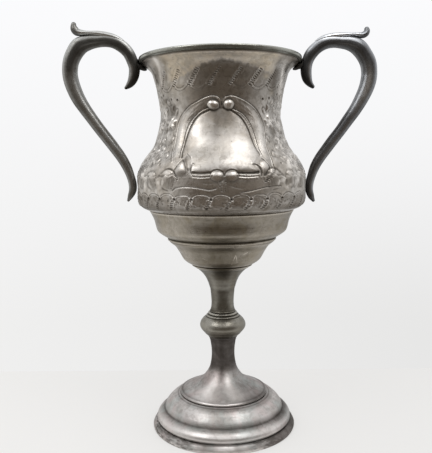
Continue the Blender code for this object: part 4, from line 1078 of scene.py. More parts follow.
def make_body():
    rel = Relief(body_out, BODY_COLS)
    ornament(rel)
    z = body_out[:, 1]
    hold = np.clip((z - 141.6) / 1.2, 0, 1) * np.clip((226.0 - z) / 3.0, 0, 1)
    h = blurred(rel.h, 0.55, 0.6) * hold[:, None]
    # slow unevenness of hand work
    ang = np.linspace(0, 2 * math.pi, BODY_COLS, endpoint=False)
    s = rel.s[:, None]
    uneven = 0.05 * np.sin(3 * ang + s * 0.09 + 0.7) + 0.04 * np.sin(5 * ang - s * 0.13 + 2.0) + 0.03 * np.sin(8 * ang + s * 0.21)
    h = h + uneven * hold[:, None]
    base = blurred(h, 3.6, 4.2)
    cav = (base - h) / 0.15
    grime = np.clip(cav, 0, 1) * (1.0 - 0.42 * rel.calm)
    wear = np.clip((h - blurred(h, 6.0, 7.0)) / 0.40 - 0.12, 0, 1)
    nrm = normals_of(body_out)
    limit = 52.78
    r = np.minimum(body_out[:, :1] + nrm[:, :1] * h, limit)
    zz = body_out[:, 1:] + nrm[:, 1:] * h + DATUM
    outer = np.stack([r * np.cos(ang), r * np.sin(ang), zz], -1)

    coarse = BODY_COLS // 4
    ang_c = ang[::4]
    inner = np.stack([body_in[:, :1] * np.cos(ang_c), body_in[:, :1] * np.sin(ang_c), np.broadcast_to(body_in[:, 1:] + DATUM, (len(body_in), coarse))], -1)
    ni, no = len(body_in), len(body_out)
    base_o = ni * coarse
    co = np.vstack([inner.reshape(-1, 3), outer.reshape(-1, 3)])
    s_in = arc(body_in)
    jump_top = np.linalg.norm(body_in[-1] - body_out[0])
    s_out = s_in[-1] + jump_top + rel.s
    total = s_out[-1] + np.linalg.norm(body_in[0] - body_out[-1])

    def corner_uv(rows_s, cols):
        i, j = np.meshgrid(np.arange(len(rows_s) - 1), np.arange(cols), indexing="ij")
        v0, v1 = rows_s[i] / total, rows_s[i + 1] / total
        u0, u1 = j / cols, (j + 1) / cols
        return np.stack([np.stack([u0, v0], -1), np.stack([u0, v1], -1), np.stack([u1, v1], -1), np.stack([u1, v0], -1)], -2).reshape(-1, 2)

    faces = [grid_faces(ni, coarse), grid_faces(no, BODY_COLS, base_o)]
    uv = [corner_uv(s_in, coarse), corner_uv(s_out, BODY_COLS)]
    # seven-sided faces join the coarse inside to the fine outside, at lip and foot
    j = np.arange(coarse)
    nj = (j + 1) % coarse
    fine = [(4 * j + k) % BODY_COLS for k in range(5)]
    lip_in, foot_in = (ni - 1) * coarse, 0
    lip_out, foot_out = base_o, base_o + (no - 1) * BODY_COLS
    faces.append(np.stack([lip_in + j] + [lip_out + f for f in fine] + [lip_in + nj], -1))
    faces.append(np.stack([foot_in + nj] + [foot_out + f for f in fine[::-1]] + [foot_in + j], -1))
    u = [(4 * j + k) / BODY_COLS for k in range(5)]
    va, vb = s_in[-1] / total, s_out[0] / total
    lip_uv = np.stack([np.stack([u[0], 0 * u[0] + va], -1)] + [np.stack([x, 0 * x + vb], -1) for x in u] + [np.stack([u[4], 0 * u[4] + va], -1)], -2)
    vc = s_out[-1] / total
    foot_uv = np.stack([np.stack([u[4], 0 * u[4] + 1.0], -1)] + [np.stack([x, 0 * x + vc], -1) for x in u[::-1]] + [np.stack([u[0], 0 * u[0] + 1.0], -1)], -2)
    uv += [lip_uv.reshape(-1, 2), foot_uv.reshape(-1, 2)]
    r0 = 45.0
    turn_in = np.stack([np.broadcast_to(r0 * np.cos(ang_c), (ni, coarse)), np.broadcast_to(r0 * np.sin(ang_c), (ni, coarse)), np.broadcast_to(s_in[:, None], (ni, coarse))], -1)
    turn_out = np.stack([np.broadcast_to(r0 * np.cos(ang), (no, BODY_COLS)), np.broadcast_to(r0 * np.sin(ang), (no, BODY_COLS)), np.broadcast_to(s_out[:, None], (no, BODY_COLS))], -1)
    obj = mesh_object(
        "bowl_body_embossed", co * MM, faces, np.vstack(uv),
        np.vstack([turn_in.reshape(-1, 3), turn_out.reshape(-1, 3)]) * MM,
        grime=np.concatenate([np.full(ni * coarse, 0.15), grime.ravel()]),
        wear=np.concatenate([np.zeros(ni * coarse), wear.ravel()]),
        stain=np.concatenate([np.full(ni * coarse, 0.25), np.clip(blurred(rel.stain, 1.0, 1.2), 0, 1).ravel()]),
        rub=np.concatenate([np.zeros(ni * coarse), np.clip(rel.rub, 0, 1).ravel()]),
        film=np.concatenate([np.zeros(ni * coarse), np.clip(blurred(rel.film, 0.8, 1.0), 0, 1).ravel()]),
        dull=np.concatenate([np.zeros(ni * coarse), np.clip(rel.dull, 0, 1).ravel()]))
    finish_piece(obj, "root", "bowl_body", M_BOWL)


make_body()

# ------------------------------------------------------------- turned pieces
rim = runs(
    (0.4, [(48.3, 229.3), (48.3, 232.1)]),
    (0.2, [(48.3, 232.1), (48.7, 232.2), (49.3, 232.15), (49.75, 231.95), (50.0, 231.5), (50.0, 230.9), (49.9, 230.4), (49.7, 230.1)]),
    (0.12, [(49.7, 230.1), (49.55, 229.95), (49.7, 229.8)]),
    (0.12, [(49.7, 229.8), (49.72, 229.6), (49.5, 229.35), (49.0, 229.2), (48.5, 229.2)]),
)


def rim_paint(phi, z):
    # tarnish, with painted shade on the front's top and under the lip, darkest under the ends beside the handles, and
    # painted highlights along the lip away from the front and in a line at the ends
    front = bell(phi, 4.0, 46.0)
    side = ramp(np.abs(phi), 46.0, 64.0) * ramp(-np.abs(phi), -116.0, -96.0)
    stain = 0.10 + 0.45 * front * ramp(-z, -231.9, -231.2) + 0.8 * ramp(-z, -230.2, -229.8) * (0.35 + 0.65 * front) + 1.4 * side * ramp(-z, -230.05, -229.7) + 0.35 * side * bell(z, 231.5, 0.35)
    return stain, 0.25 * (1 - front) * bell(z, 231.0, 0.8) + 0.8 * side * bell(z, 230.5, 0.35)


lathe("rim_wire", rim, 360, node="rim_moulding", mat=M_RIM, paint=rim_paint)

lower = runs(
    (1.5, [(0.0, 103.4), (8.0, 103.4), (13.0, 103.5), (17.4, 104.7), (20.6, 106.6), (23.2, 109.2), (25.2, 112.4), (27.0, 115.4), (29.0, 118.2), (31.6, 120.6)]),
    (1.2, [(31.6, 120.6), (33.0, 122.2), (35.6, 124.3), (38.0, 126.4), (39.3, 128.6), (40.3, 131.6), (41.4, 135.4), (42.6, 138.2), (43.6, 139.8), (43.7, 142.0)]),
    (0.6, [(43.7, 142.0), (45.0, 142.0)]),
    (0.8, [(45.0, 142.0), (45.0, 139.0)]),
    (0.2, [(45.0, 139.0), (45.2, 138.85), (45.28, 138.5), (45.1, 138.2)]),
    (0.4, [(45.1, 138.2), (44.4, 137.0), (43.9, 136.0), (43.0, 134.0), (42.35, 132.0), (41.9, 130.0), (41.55, 128.6), (41.2, 127.4), (40.7, 126.3), (39.9, 125.4),
           (38.5, 124.35), (37.0, 123.35), (35.9, 122.75)]),
    (0.12, [(35.9, 122.75), (35.4, 122.4), (34.8, 122.2), (34.4, 121.9)]),
    (0.12, [(34.4, 121.9), (34.15, 121.55), (34.3, 121.2), (34.45, 120.85)]),
    (0.12, [(34.45, 120.85), (34.4, 120.45), (34.1, 120.1), (33.75, 119.9)]),
    (0.12, [(33.75, 119.9), (33.45, 119.55), (33.25, 119.25)]),
    (0.4, [(33.25, 119.25), (32.6, 118.65), (31.65, 117.95), (30.4, 117.0), (29.45, 116.0), (28.75, 115.0), (28.15, 114.0), (27.5, 113.0), (26.9, 112.0), (25.85, 110.0), (24.65, 108.0),
           (23.3, 106.7), (21.8, 105.6), (20.9, 105.1), (20.3, 104.85)]),
    (0.1, [(20.3, 104.85), (20.0, 104.65), (19.7, 104.55)]),
    (0.1, [(19.7, 104.55), (19.1, 104.5), (18.8, 104.35)]),
    (0.1, [(18.8, 104.35), (18.75, 104.1), (18.95, 103.95)]),
    (0.1, [(18.95, 103.95), (19.25, 103.8), (19.2, 103.55), (18.9, 103.35)]),
    (0.3, [(18.9, 103.35), (17.9, 102.75), (16.9, 102.15), (15.9, 102.0)]),
    (1.2, [(15.9, 102.0), (8.0, 102.0), (0.0, 102.0)]),
)


def tier_paint(phi, z):
    # tarnish, with painted shade on the front, strongest on the lower tier, and in the creases at the steps; painted
    # highlights along the step edges and on the sides
    low = ramp(-z, -119.5, -118.0)
    stain = 0.06 + 0.04 * low + 0.74 * low * bell(phi, -4.0, 36.0) + 0.62 * bell(z, 121.8, 1.7) + 0.25 * bell(z, 104.2, 1.0)
    stain = stain + 0.52 * bell(phi, 0.0, 32.0) * bell(z, 124.8, 2.4) + 0.20 * bell(phi, -4.0, 18.0) * ramp(z, 134.0, 137.0)
    rub = 0.30 * bell(z, 123.6, 0.8) * (1.0 - 0.5 * bell(phi, 0.0, 28.0)) + 0.20 * bell(z, 120.3, 0.35) + 0.3 * bell(z, 105.1, 0.5)
    rub = rub + 0.18 * bell(phi, -34.0, 9.0) * bell(z, 132.0, 4.0) + 0.16 * bell(phi, 30.0, 8.0) * bell(z, 131.0, 4.0)
    rub = rub + 0.24 * low * ramp(np.abs(phi), 32.0, 52.0) + 0.06 * low * ramp(phi, 30.0, 50.0) + 0.16 * bell(phi, -52.0, 12.0) * bell(z, 132.0, 5.0)
    return stain, rub


lathe("lower_bowl_stepped", lower, 300, node="lower_bowl", mat=M_TIER, ring=False, wobble=0.05, paint=tier_paint)

upper = runs(
    (1.0, [(6.0, 73.3), (5.9, 78.0), (5.9, 84.0), (6.5, 89.0), (7.6, 93.0), (9.0, 96.0), (10.8, 98.9), (13.2, 101.7)]),
    (0.5, [(13.2, 101.7), (13.2, 102.4)]),
    (0.5, [(13.2, 102.4), (17.0, 102.5)]),
    (0.2, [(17.0, 102.5), (17.2, 102.3), (16.7, 101.95), (15.9, 101.5), (15.1, 100.9), (14.1, 100.0), (13.1, 99.0), (12.2, 98.0), (10.8, 96.0), (9.8, 94.0), (9.0, 92.0), (8.4, 90.0), (7.8, 88.0), (7.6, 86.0), (7.3, 83.0),
           (7.15, 79.6), (7.2, 78.0), (7.4, 76.0), (7.9, 74.2)]),
    (0.15, [(7.9, 74.2), (8.3, 73.6), (8.3, 73.3)]),
)


def stem_paint(phi, z):
    # tarnish, with painted shade round the left side, on the front under the bowl and near the knop, and a painted
    # highlight on the left
    stain = 0.22 + 0.46 * ramp(-phi, 30.0, 60.0) + 0.75 * bell(phi, 2.0, 30.0) * ramp(z, 93.0, 97.0) + 0.35 * bell(phi, 8.0, 40.0) * bell(z, 84.0, 7.0) + 0.5 * ramp(-z, -76.5, -74.0)
    rub = 0.2 * bell(phi, -38.0, 14.0) * bell(z, 92.0, 7.0)
    return stain, rub


lathe("upper_stem_turned", upper, 180, node="upper_stem", mat=M_STEM, wobble=0.02, paint=stem_paint)

knop = runs(
    (1.2, [(3.6, 54.0), (3.6, 76.5)]),
    (0.6, [(3.6, 76.5), (5.7, 76.5)]),
    (0.8, [(5.7, 76.5), (5.7, 73.0)]),
    (0.4, [(5.7, 73.0), (8.5, 73.0)]),
    (0.12, [(8.5, 73.0), (9.0, 72.8), (9.35, 72.35), (9.3, 71.8)]),
    (0.12, [(9.3, 71.8), (9.2, 71.5), (9.5, 71.35)]),
    (0.12, [(9.5, 71.35), (9.95, 71.25), (10.5, 70.9), (10.65, 70.45), (10.6, 70.2)]),
    (0.12, [(10.6, 70.2), (10.85, 70.05), (11.2, 69.95)]),
    (0.3, [(11.2, 69.95), (11.7, 69.6), (12.6, 68.8), (13.5, 67.7), (14.2, 66.5), (14.62, 65.2), (14.68, 64.2), (14.5, 63.2), (14.0, 62.2), (13.4, 61.3), (12.8, 60.6)]),
    (0.15, [(12.8, 60.6), (12.5, 60.3), (12.2, 60.0)]),
    (0.25, [(12.2, 60.0), (11.6, 59.2), (10.9, 58.5), (10.3, 58.0)]),
    (0.12, [(10.3, 58.0), (10.1, 57.75), (9.8, 57.6)]),
    (0.5, [(9.8, 57.6), (5.7, 57.6)]),
    (0.9, [(5.7, 57.6), (5.7, 54.0)]),
)
# knop: tarnish, darker in the groove, painted shade under its belly, and a brighter band round its upper belly
lathe("knop_cast", knop, 180, node="knop", mat=M_STEM, wobble=0.03, paint=lambda phi, z: (0.2 + 0.4 * bell(z, 71.4, 0.5) + 0.3 * bell(z, 58.5, 1.5), 0.15 * bell(z, 66.5, 1.5)))

trumpet = runs(
    (1.0, [(27.5, 20.2), (24.4, 21.4), (19.8, 23.4), (15.2, 25.7), (11.6, 28.6), (9.2, 31.8), (7.6, 35.2), (6.6, 39.4), (6.1, 44.0), (6.0, 48.0), (6.0, 57.2)]),
    (0.4, [(6.0, 57.2), (9.1, 57.3)]),
    (0.12, [(9.1, 57.3), (9.35, 57.15), (9.25, 56.8)]),
    (0.45, [(9.25, 56.8), (8.8, 55.9), (8.2, 54.0), (7.9, 52.0), (7.6, 50.0), (7.45, 48.0), (7.38, 45.0), (7.6, 42.0), (7.9, 40.0), (8.3, 38.0),
            (8.9, 36.0), (9.9, 34.0), (11.2, 32.0), (12.8, 30.0), (14.9, 28.2), (16.6, 27.1), (18.4, 26.1), (20.4, 25.05), (22.4, 24.1), (24.2, 23.2), (25.8, 22.4), (26.9, 21.85)]),
    (0.12, [(26.9, 21.85), (27.4, 21.75), (27.9, 21.55), (28.2, 21.1), (28.2, 20.7), (27.9, 20.3)]),
)


def trumpet_paint(phi, z):
    # painted shade on the sides, heavy up the stem, in a streak down the front and at the ledge; painted highlights of
    # the two lamps and of the light from above on the skirt
    stain = 0.08 + 0.24 * ramp(np.abs(phi + 6.0), 28.0, 48.0) + (1.16 + 0.46 * ramp(-phi, 20.0, 50.0)) * ramp(z, 32.5, 42.0) + 0.55 * bell(phi, -7.0, 9.0) * ramp(z, 28.5, 33.0)
    stain = stain + 0.42 * bell(phi, 48.0, 26.0) * ramp(-z, -30.0, -26.0) + 0.55 * ramp(np.abs(phi + 4.0), 18.0, 34.0) * bell(z, 21.4, 1.0)
    rub = 0.65 * bell(phi, -28.0, 11.0) * bell(z, 27.4, 3.4) + 0.65 * bell(phi, 12.0, 9.0) * bell(z, 29.6, 3.8) + 0.35 * bell(z, 21.5, 0.4) * bell(phi, -8.0, 26.0)
    rub = rub + 0.75 * bell(phi, -8.0, 34.0) * bell(z, 25.0, 3.2) + 0.30 * bell(z, 20.5, 0.5)
    return stain, rub * (1.0 - 0.9 * ramp(z, 38.0, 42.0))


lathe("lower_stem_trumpet", trumpet, 240, node="lower_stem", mat=M_FOOT, wobble=0.04, paint=trumpet_paint)

dome = runs(
    (1.2, [(41.3, 3.4), (41.3, 6.3), (40.2, 7.5), (38.5, 8.5), (37.1, 9.7), (36.4, 11.4), (35.6, 12.8), (34.2, 14.3), (32.6, 15.6), (30.8, 16.8), (29.2, 17.8), (28.0, 18.4), (25.6, 18.6)]),
    (0.6, [(25.6, 18.6), (25.6, 19.9)]),
    (0.5, [(25.6, 19.9), (28.1, 19.9)]),
    (0.2, [(28.1, 19.9), (28.7, 19.85), (29.2, 19.55)]),
    (0.2, [(29.2, 19.55), (29.6, 19.35), (30.2, 19.2), (30.9, 18.9)]),
    (0.35, [(30.9, 18.9), (32.3, 18.1), (33.6, 17.15), (34.7, 16.15), (35.8, 15.05), (36.8, 13.9), (37.5, 12.8), (37.9, 11.9), (38.1, 11.2),
            (38.35, 10.6), (38.9, 10.1), (39.7, 9.6), (40.6, 9.05), (41.5, 8.35), (42.2, 7.6), (42.8, 6.75), (43.15, 5.9), (43.3, 5.1), (43.2, 4.4), (42.9, 3.8), (42.6, 3.45)]),
    (0.2, [(42.6, 3.45), (42.2, 3.3)]),
)


def dome_paint(phi, z):
    # painted shade in the cove, under the skirt's ledge, under the bead and on the right side; painted highlights of
    # the lamps on the torus and along the bead
    right = ramp(phi, 5.0, 45.0) * ramp(-phi, -85.0, -65.0)
    cove = bell(z, 11.6, 2.0)
    stain = 0.38 * cove + 0.24 * bell(z, 9.7, 0.9) + 0.25 * cove * right + 0.42 * bell(z, 19.3, 0.9) + 0.36 * bell(z, 19.9, 0.35) + 0.24 * right * bell(z, 18.8, 1.3)
    stain = stain + 0.5 * bell(z, 3.9, 0.7) + 0.08 * bell(z, 5.0, 0.9)
    stain = stain + 0.14 * bell(phi, -46.0, 12.0) * bell(z, 14.5, 3.0) + 0.20 * bell(phi, 0.0, 14.0) * bell(z, 15.0, 2.4)
    stain = stain + 0.04 * ramp(-phi, 42.0, 62.0) * ramp(-z, -13.0, -8.0) + 0.56 * ramp(phi, 42.0, 62.0) * ramp(-z, -14.0, -9.0)
    rub = 0.14 * bell(phi, 40.0, 18.0) * bell(z, 15.0, 2.5) + 0.06 * bell(phi, -44.0, 16.0) * bell(z, 15.0, 2.5) + 0.25 * bell(phi, -20.0, 10.0) * bell(z, 16.0, 1.6) + 0.22 * bell(phi, 16.0, 10.0) * bell(z, 16.6, 1.6) + 0.30 * bell(z, 7.3, 0.9) + 0.25 * bell(phi, -30.0, 16.0) * bell(z, 7.6, 0.8)
    return stain, rub


lathe("foot_dome_turned", dome, 300, node="foot_dome", mat=M_FOOT, wobble=0.05, paint=dome_paint)

band = runs(
    (0.8, [(43.3, -1.45), (42.8, 1.1), (41.0, 1.8)]),
    (0.8, [(41.0, 1.8), (41.0, 3.0)]),
    (0.5, [(41.0, 3.0), (42.6, 3.05)]),
    (0.25, [(42.6, 3.05), (43.3, 2.95), (44.2, 2.6), (44.8, 2.0), (45.3, 1.3), (45.7, 0.6), (45.98, -0.1), (45.95, -0.6), (45.75, -1.1)]),
    (0.12, [(45.75, -1.1), (45.6, -1.4), (45.35, -1.5)]),
    (0.5, [(45.35, -1.5), (43.3, -1.5)]),
)


def band_paint(phi, z):
    patches = np.zeros(phi.shape)
    for a, width, amount in ((-66, 9, 0.6), (-48, 7, 0.45), (-30, 8, 0.55), (-15, 5, 0.75), (-8, 3, 0.4), (10, 4, 0.5), (24, 6, 0.35), (40, 8, 0.6), (56, 7, 0.75), (74, 10, 0.7), (120, 20, 0.4), (160, 14, 0.5), (-110, 16, 0.4), (-150, 18, 0.5)):
        patches = patches + amount * bell(phi, a, width)
    # tarnish patches and speckle, with painted shade on the right side and under the bead; painted highlights at the
    # front
    stain = 0.05 + 0.62 * patches + 0.4 * bell(z, 2.6, 0.6) + 0.50 * ramp(phi, 26.0, 46.0) + 0.06 * ramp(-phi, 30.0, 52.0)
    speckle = blurred(np.random.default_rng(7).normal(size=phi.shape), 1.0, 0.6)
    stain = stain + (0.28 + 0.24 * np.clip(speckle / speckle.std(), -1.0, 1.8)) * ramp(np.abs(phi), 14.0, 30.0)
    return stain, 0.35 * bell(phi, 2.0, 7.0) * ramp(z, -1.5, 1.0) + 0.25 * bell(z, 0.0, 0.5) * bell(phi, -2.0, 14.0)


lathe("foot_band", band, 300, node="foot_ring", mat=M_FOOT, wobble=0.02, paint=band_paint)

# ------------------------------------------------------------------- handles
# Centre lines as (distance from the axis, height, half thickness).
LEFT_BAR = [
    (58.3, 214.8, 1.0), (56.9, 215.9, 1.7), (55.0, 218.0, 2.5), (53.5, 221.2, 3.1), (52.8, 226.3, 3.4), (54.2, 231.5, 3.5),
    (56.6, 236.2, 3.6), (60.4, 239.8, 3.7), (65.1, 242.2, 3.6), (70.1, 242.9, 3.5), (75.2, 242.6, 3.65), (80.2, 241.8, 4.25),
    (85.4, 239.9, 5.1), (88.9, 235.6, 4.95), (91.2, 230.5, 4.75), (92.0, 225.0, 4.65), (91.6, 220.1, 4.6), (90.1, 214.7, 4.5),
    (87.4, 208.3, 4.25), (83.7, 202.2, 3.85), (79.4, 195.9, 3.6), (74.7, 189.3, 3.5), (70.0, 183.1, 3.45), (65.9, 177.5, 3.35),
    (62.2, 172.1, 3.2), (59.1, 166.4, 2.95), (56.9, 160.6, 2.6), (55.7, 155.6, 2.55), (55.8, 151.6, 2.4), (57.3, 148.0, 1.75), (58.7, 145.3, 0.8)]
RIGHT_BAR = [
    (57.8, 214.8, 1.2), (55.8, 216.8, 2.1), (54.2, 219.8, 3.0), (53.5, 224.9, 3.4), (54.3, 230.1, 3.5), (56.7, 234.9, 3.8),
    (60.5, 238.7, 3.8), (65.2, 241.3, 3.85), (70.4, 242.0, 3.6), (75.5, 241.6, 3.65), (80.7, 240.9, 4.25), (85.9, 238.7, 5.0),
    (89.6, 234.4, 4.9), (92.3, 229.3, 4.9), (93.2, 223.6, 4.8), (92.8, 218.5, 4.8), (91.2, 213.0, 4.6), (88.2, 206.6, 4.3),
    (84.6, 200.4, 3.95), (80.1, 194.1, 3.7), (75.4, 187.6, 3.5), (70.6, 181.5, 3.5), (66.4, 175.9, 3.4), (62.6, 170.7, 3.3),
    (59.3, 165.0, 3.05), (57.2, 159.2, 2.65), (55.9, 154.2, 2.6), (55.9, 150.2, 2.4), (57.1, 146.4, 2.0), (58.6, 143.7, 1.0)]
LEFT_LEAF = [
    (59.2, 242.9, 0.7), (61.0, 243.7, 1.2), (63.6, 244.6, 1.75), (66.0, 245.4, 1.95), (70.0, 246.35, 2.0), (74.8, 247.1, 1.8), (78.2, 247.4, 1.45), (81.6, 247.5, 1.5),
    (84.6, 247.7, 1.95), (87.2, 248.4, 2.3), (88.5, 250.1, 2.3), (88.85, 251.9, 1.75), (88.75, 252.8, 1.45)]
RIGHT_LEAF = [
    (59.6, 242.4, 0.7), (61.4, 243.2, 1.2), (64.1, 244.1, 1.75), (66.5, 244.8, 1.85), (70.5, 245.5, 1.9), (75.3, 245.9, 1.7), (78.9, 246.2, 1.4), (82.3, 246.35, 1.25),
    (85.5, 246.15, 1.5), (88.3, 245.9, 1.85), (90.6, 247.0, 2.0), (91.4, 248.7, 1.8), (91.2, 249.7, 1.5)]


def sweep(name, line, section, side, mat, node, paint):
    """Bar along a line in the handle's plane.  section(t, half) gives (n, b)
    points, n in the plane and b across it; line rows are (u, z, half)."""
    u, z, half = line[:, 0], line[:, 1] + DATUM, line[:, 2]
    d = np.column_stack([np.gradient(u), np.gradient(z)])
    d /= np.linalg.norm(d, axis=1, keepdims=True)
    nrm = np.column_stack([-d[:, 1], d[:, 0]])            # left of travel
    s = arc(np.column_stack([u, z]))
    total = s[-1]
    rows, shade = [], []
    for i in range(len(line)):
        sec = section(s[i] / total, half[i])
        rows.append(np.column_stack([side * (u[i] + nrm[i, 0] * sec[:, 0]), side * sec[:, 1], z[i] + nrm[i, 1] * sec[:, 0]]))
        reach = np.maximum(np.hypot(sec[:, 0], sec[:, 1]), 1e-6)
        shade.append(paint(s[i] / total, sec[:, 0] / reach, -nrm[i, 1] * sec[:, 0] / reach, side))
    m = len(rows[0])
    shade = [shade[0]] * 5 + shade + [shade[-1]] * 5
    stain = np.concatenate([np.broadcast_to(a, m) for a, b in shade] + [[0.3, 0.3]])
    rub = np.concatenate([np.broadcast_to(b, m) for a, b in shade] + [[0.0, 0.0]])
    # painted shade above 1 also goes into the darker dirt colour
    dirt = np.clip(stain - 1.0, 0, 1)

    def cap(i, sign):
        """Rounded end."""
        out_rows = []
        for k in range(1, 6):
            a = math.radians(90 * k / 6)
            sec = section(s[i] / total, half[i]) * math.cos(a)
            push = half[i] * 0.9 * math.sin(a) * sign
            out_rows.append(np.column_stack([side * (u[i] + nrm[i, 0] * sec[:, 0] + d[i, 0] * push), side * sec[:, 1], z[i] + nrm[i, 1] * sec[:, 0] + d[i, 1] * push]))
        tip = np.array([side * (u[i] + d[i, 0] * half[i] * 0.9 * sign), 0.0, z[i] + d[i, 1] * half[i] * 0.9 * sign])
        return out_rows, tip
    head, tip_a = cap(0, -1)
    tail, tip_b = cap(len(line) - 1, 1)
    rows = head[::-1] + rows + tail
    co = np.vstack(rows + [tip_a[None], tip_b[None]])
    n_rows = len(rows)
    quads = grid_faces(n_rows, m)
    j = np.arange(m)
    nj = (j + 1) % m
    a_tip, b_tip = n_rows * m, n_rows * m + 1
    start = np.stack([np.full(m, a_tip), j, nj], -1)
    end = np.stack([(n_rows - 1) * m + j, np.full(m, b_tip), (n_rows - 1) * m + nj], -1)
    v_rows = np.linspace(0, 1, n_rows)
    i, jj = np.meshgrid(np.arange(n_rows - 1), j, indexing="ij")
    # the long way of the bar runs along u of the map
    uv_q = np.stack([np.stack([v_rows[i], jj / m], -1), np.stack([v_rows[i + 1], jj / m], -1),
                     np.stack([v_rows[i + 1], (jj + 1) / m], -1), np.stack([v_rows[i], (jj + 1) / m], -1)], -2).reshape(-1, 2)
    z0 = np.zeros(m)
    uv_a = np.stack([np.stack([z0, (j + 0.5) / m], -1), np.stack([z0 + v_rows[0] + 1e-4, j / m], -1), np.stack([z0 + v_rows[0] + 1e-4, (j + 1) / m], -1)], -2).reshape(-1, 2)
    uv_b = np.stack([np.stack([z0 + 1 - 1e-4, j / m], -1), np.stack([z0 + 1, (j + 0.5) / m], -1), np.stack([z0 + 1 - 1e-4, (j + 1) / m], -1)], -2).reshape(-1, 2)
    turn = np.column_stack([co[:, 0], co[:, 1], co[:, 2]])
    obj = mesh_object(name, co * MM, [quads, start, end], np.vstack([uv_q, uv_a, uv_b]), turn * MM, grime=dirt, wear=np.zeros(len(co)), stain=np.clip(stain, 0, 1), rub=np.clip(rub, 0, 1))
    finish_piece(obj, "root", node, mat)
    return obj


def rounded(points, count, ease):
    """Closed outline through the points, softened at its corners."""
    p = np.array(points, float)
    p = np.vstack([p, p[:1]])
    run = arc(p)
    at = np.linspace(0, run[-1], 4 * count, endpoint=False)
    q = np.column_stack([np.interp(at, run, p[:, 0]), np.interp(at, run, p[:, 1])])
    f = np.fft.fftfreq(len(q))
    keep = np.exp(-2 * (math.pi * f * ease * 4) ** 2)[:, None]
    return np.fft.ifft(np.fft.fft(q, axis=0) * keep, axis=0).real[::4]


# outer side at n = 1, front at b = -1 and b = 1
HALF_BEVEL = [(1.0, 0.0), (1.0, 0.34), (0.86, 0.66), (0.62, 0.86), (0.30, 0.985), (-0.10, 1.0), (-0.50, 0.93), (-0.82, 0.68), (-0.98, 0.34)]
BEVELLED = rounded(HALF_BEVEL + [(-1.0, 0.0)] + [(n, -b) for n, b in HALF_BEVEL[:0:-1]], 72, 0.55)
ROUND = rounded([(math.cos(a), math.sin(a)) for a in np.linspace(0, 2 * math.pi, 48, endpoint=False)], 72, 0.4)


def bar_section(t, half):
    """Bar with a slightly flattened front and a broad bevel to its outer side
    round the loop; the arm is rounder."""
    w = np.interp(t, [0.0, 0.12, 0.40, 0.58, 1.0], [0.7, 1.0, 1.0, 0.15, 0.3])
    p = BEVELLED * w + ROUND * (1 - w)
    return np.column_stack([0.996 * p[:, 0], 0.97 * p[:, 1]]) * half


def bar_paint(t, n, down, side):
    """Painted shade on the undersides, on the side towards the bowl and on the
    middle of the loop's front; painted highlights on the outer side of the loop
    and the inner side of the arm.  Above 1 the painted shade also goes into the
    darker dirt colour."""
    loop = ramp(t, 0.08, 0.13) * ramp(-t, -0.50, -0.40)
    stain = 0.80 * ramp(down, 0.0, 0.55) + 1.9 * ramp(n, -0.45, 0.20) * ramp(-t, -0.15, -0.10)
    stain = stain + (1.17 if side > 0 else 1.80) * bell(n, -0.02, 0.48) * (1.0 - 0.7 * ramp(n, 0.52, 0.72)) * loop + 0.55 * ramp(t, 0.93, 0.97) * ramp(n, 0.0, 0.6)
    stain = stain + (0.07 if side > 0 else 0.26) * ramp(t, 0.78, 0.86)
    stain = stain * (1.0 - 0.75 * ramp(n, 0.86, 0.98) * ramp(t, 0.45, 0.55))
    if side > 0:
        rub = 0.95 * ramp(n, 0.46, 0.72) * ramp(t, 0.13, 0.18) * ramp(-t, -0.36, -0.28) + 0.45 * ramp(n, 0.62, 0.86) * ramp(t, 0.33, 0.37) * ramp(-t, -0.50, -0.44)
        stain = stain + 0.95 * ramp(t, 0.57, 0.64) * ramp(-n, -0.3, 0.4) + 0.40 * ramp(-n, 0.40, 0.62) * bell(t, 0.52, 0.08)
        rub = rub + 1.3 * bell(n, -0.16, 0.34) * bell(t, 0.49, 0.06)
    else:
        rub = 0.60 * ramp(n, 0.54, 0.78) * ramp(t, 0.13, 0.18) * ramp(-t, -0.46, -0.38) + 0.16 * bell(n, 0.1, 0.5) * ramp(t, 0.58, 0.66)
        stain = stain + 0.36 * ramp(t, 0.60, 0.72) * ramp(-n, 0.0, 0.5)
        rub = rub + 0.45 * bell(n, -0.40, 0.24) * bell(t, 0.54, 0.06)
    return stain, rub + 0.24 * bell(n, -0.36, 0.16) * bell(t, 0.29, 0.05)


def leaf_paint(t, n, down, side):
    # painted shade on the leaf's underside and towards its tip, painted highlight on its top, brighter on the right
    # handle
    stain = 0.85 * ramp(down, 0.1, 0.6) + 0.55 * ramp(t, 0.80, 0.88) * ramp(down, -0.7, 0.2)
    return stain, (1.0 if side > 0 else 0.7) * ramp(-down, -0.85, -0.25) * ramp(-t, -0.86, -0.74)


def leaf_section(t, half):
    a = np.linspace(0, 2 * math.pi, 40, endpoint=False)
    c, s = np.cos(a), np.sin(a)
    p = 2.0
    width = np.interp(t, [0.0, 0.15, 0.45, 0.75, 0.92, 1.0], [2.4, 3.0, 3.15, 2.9, 2.5, 2.0])
    n = np.sign(c) * np.abs(c) ** (2 / p) * half
    b = np.sign(s) * np.abs(s) ** (2 / p) * width
    return np.column_stack([n, b])


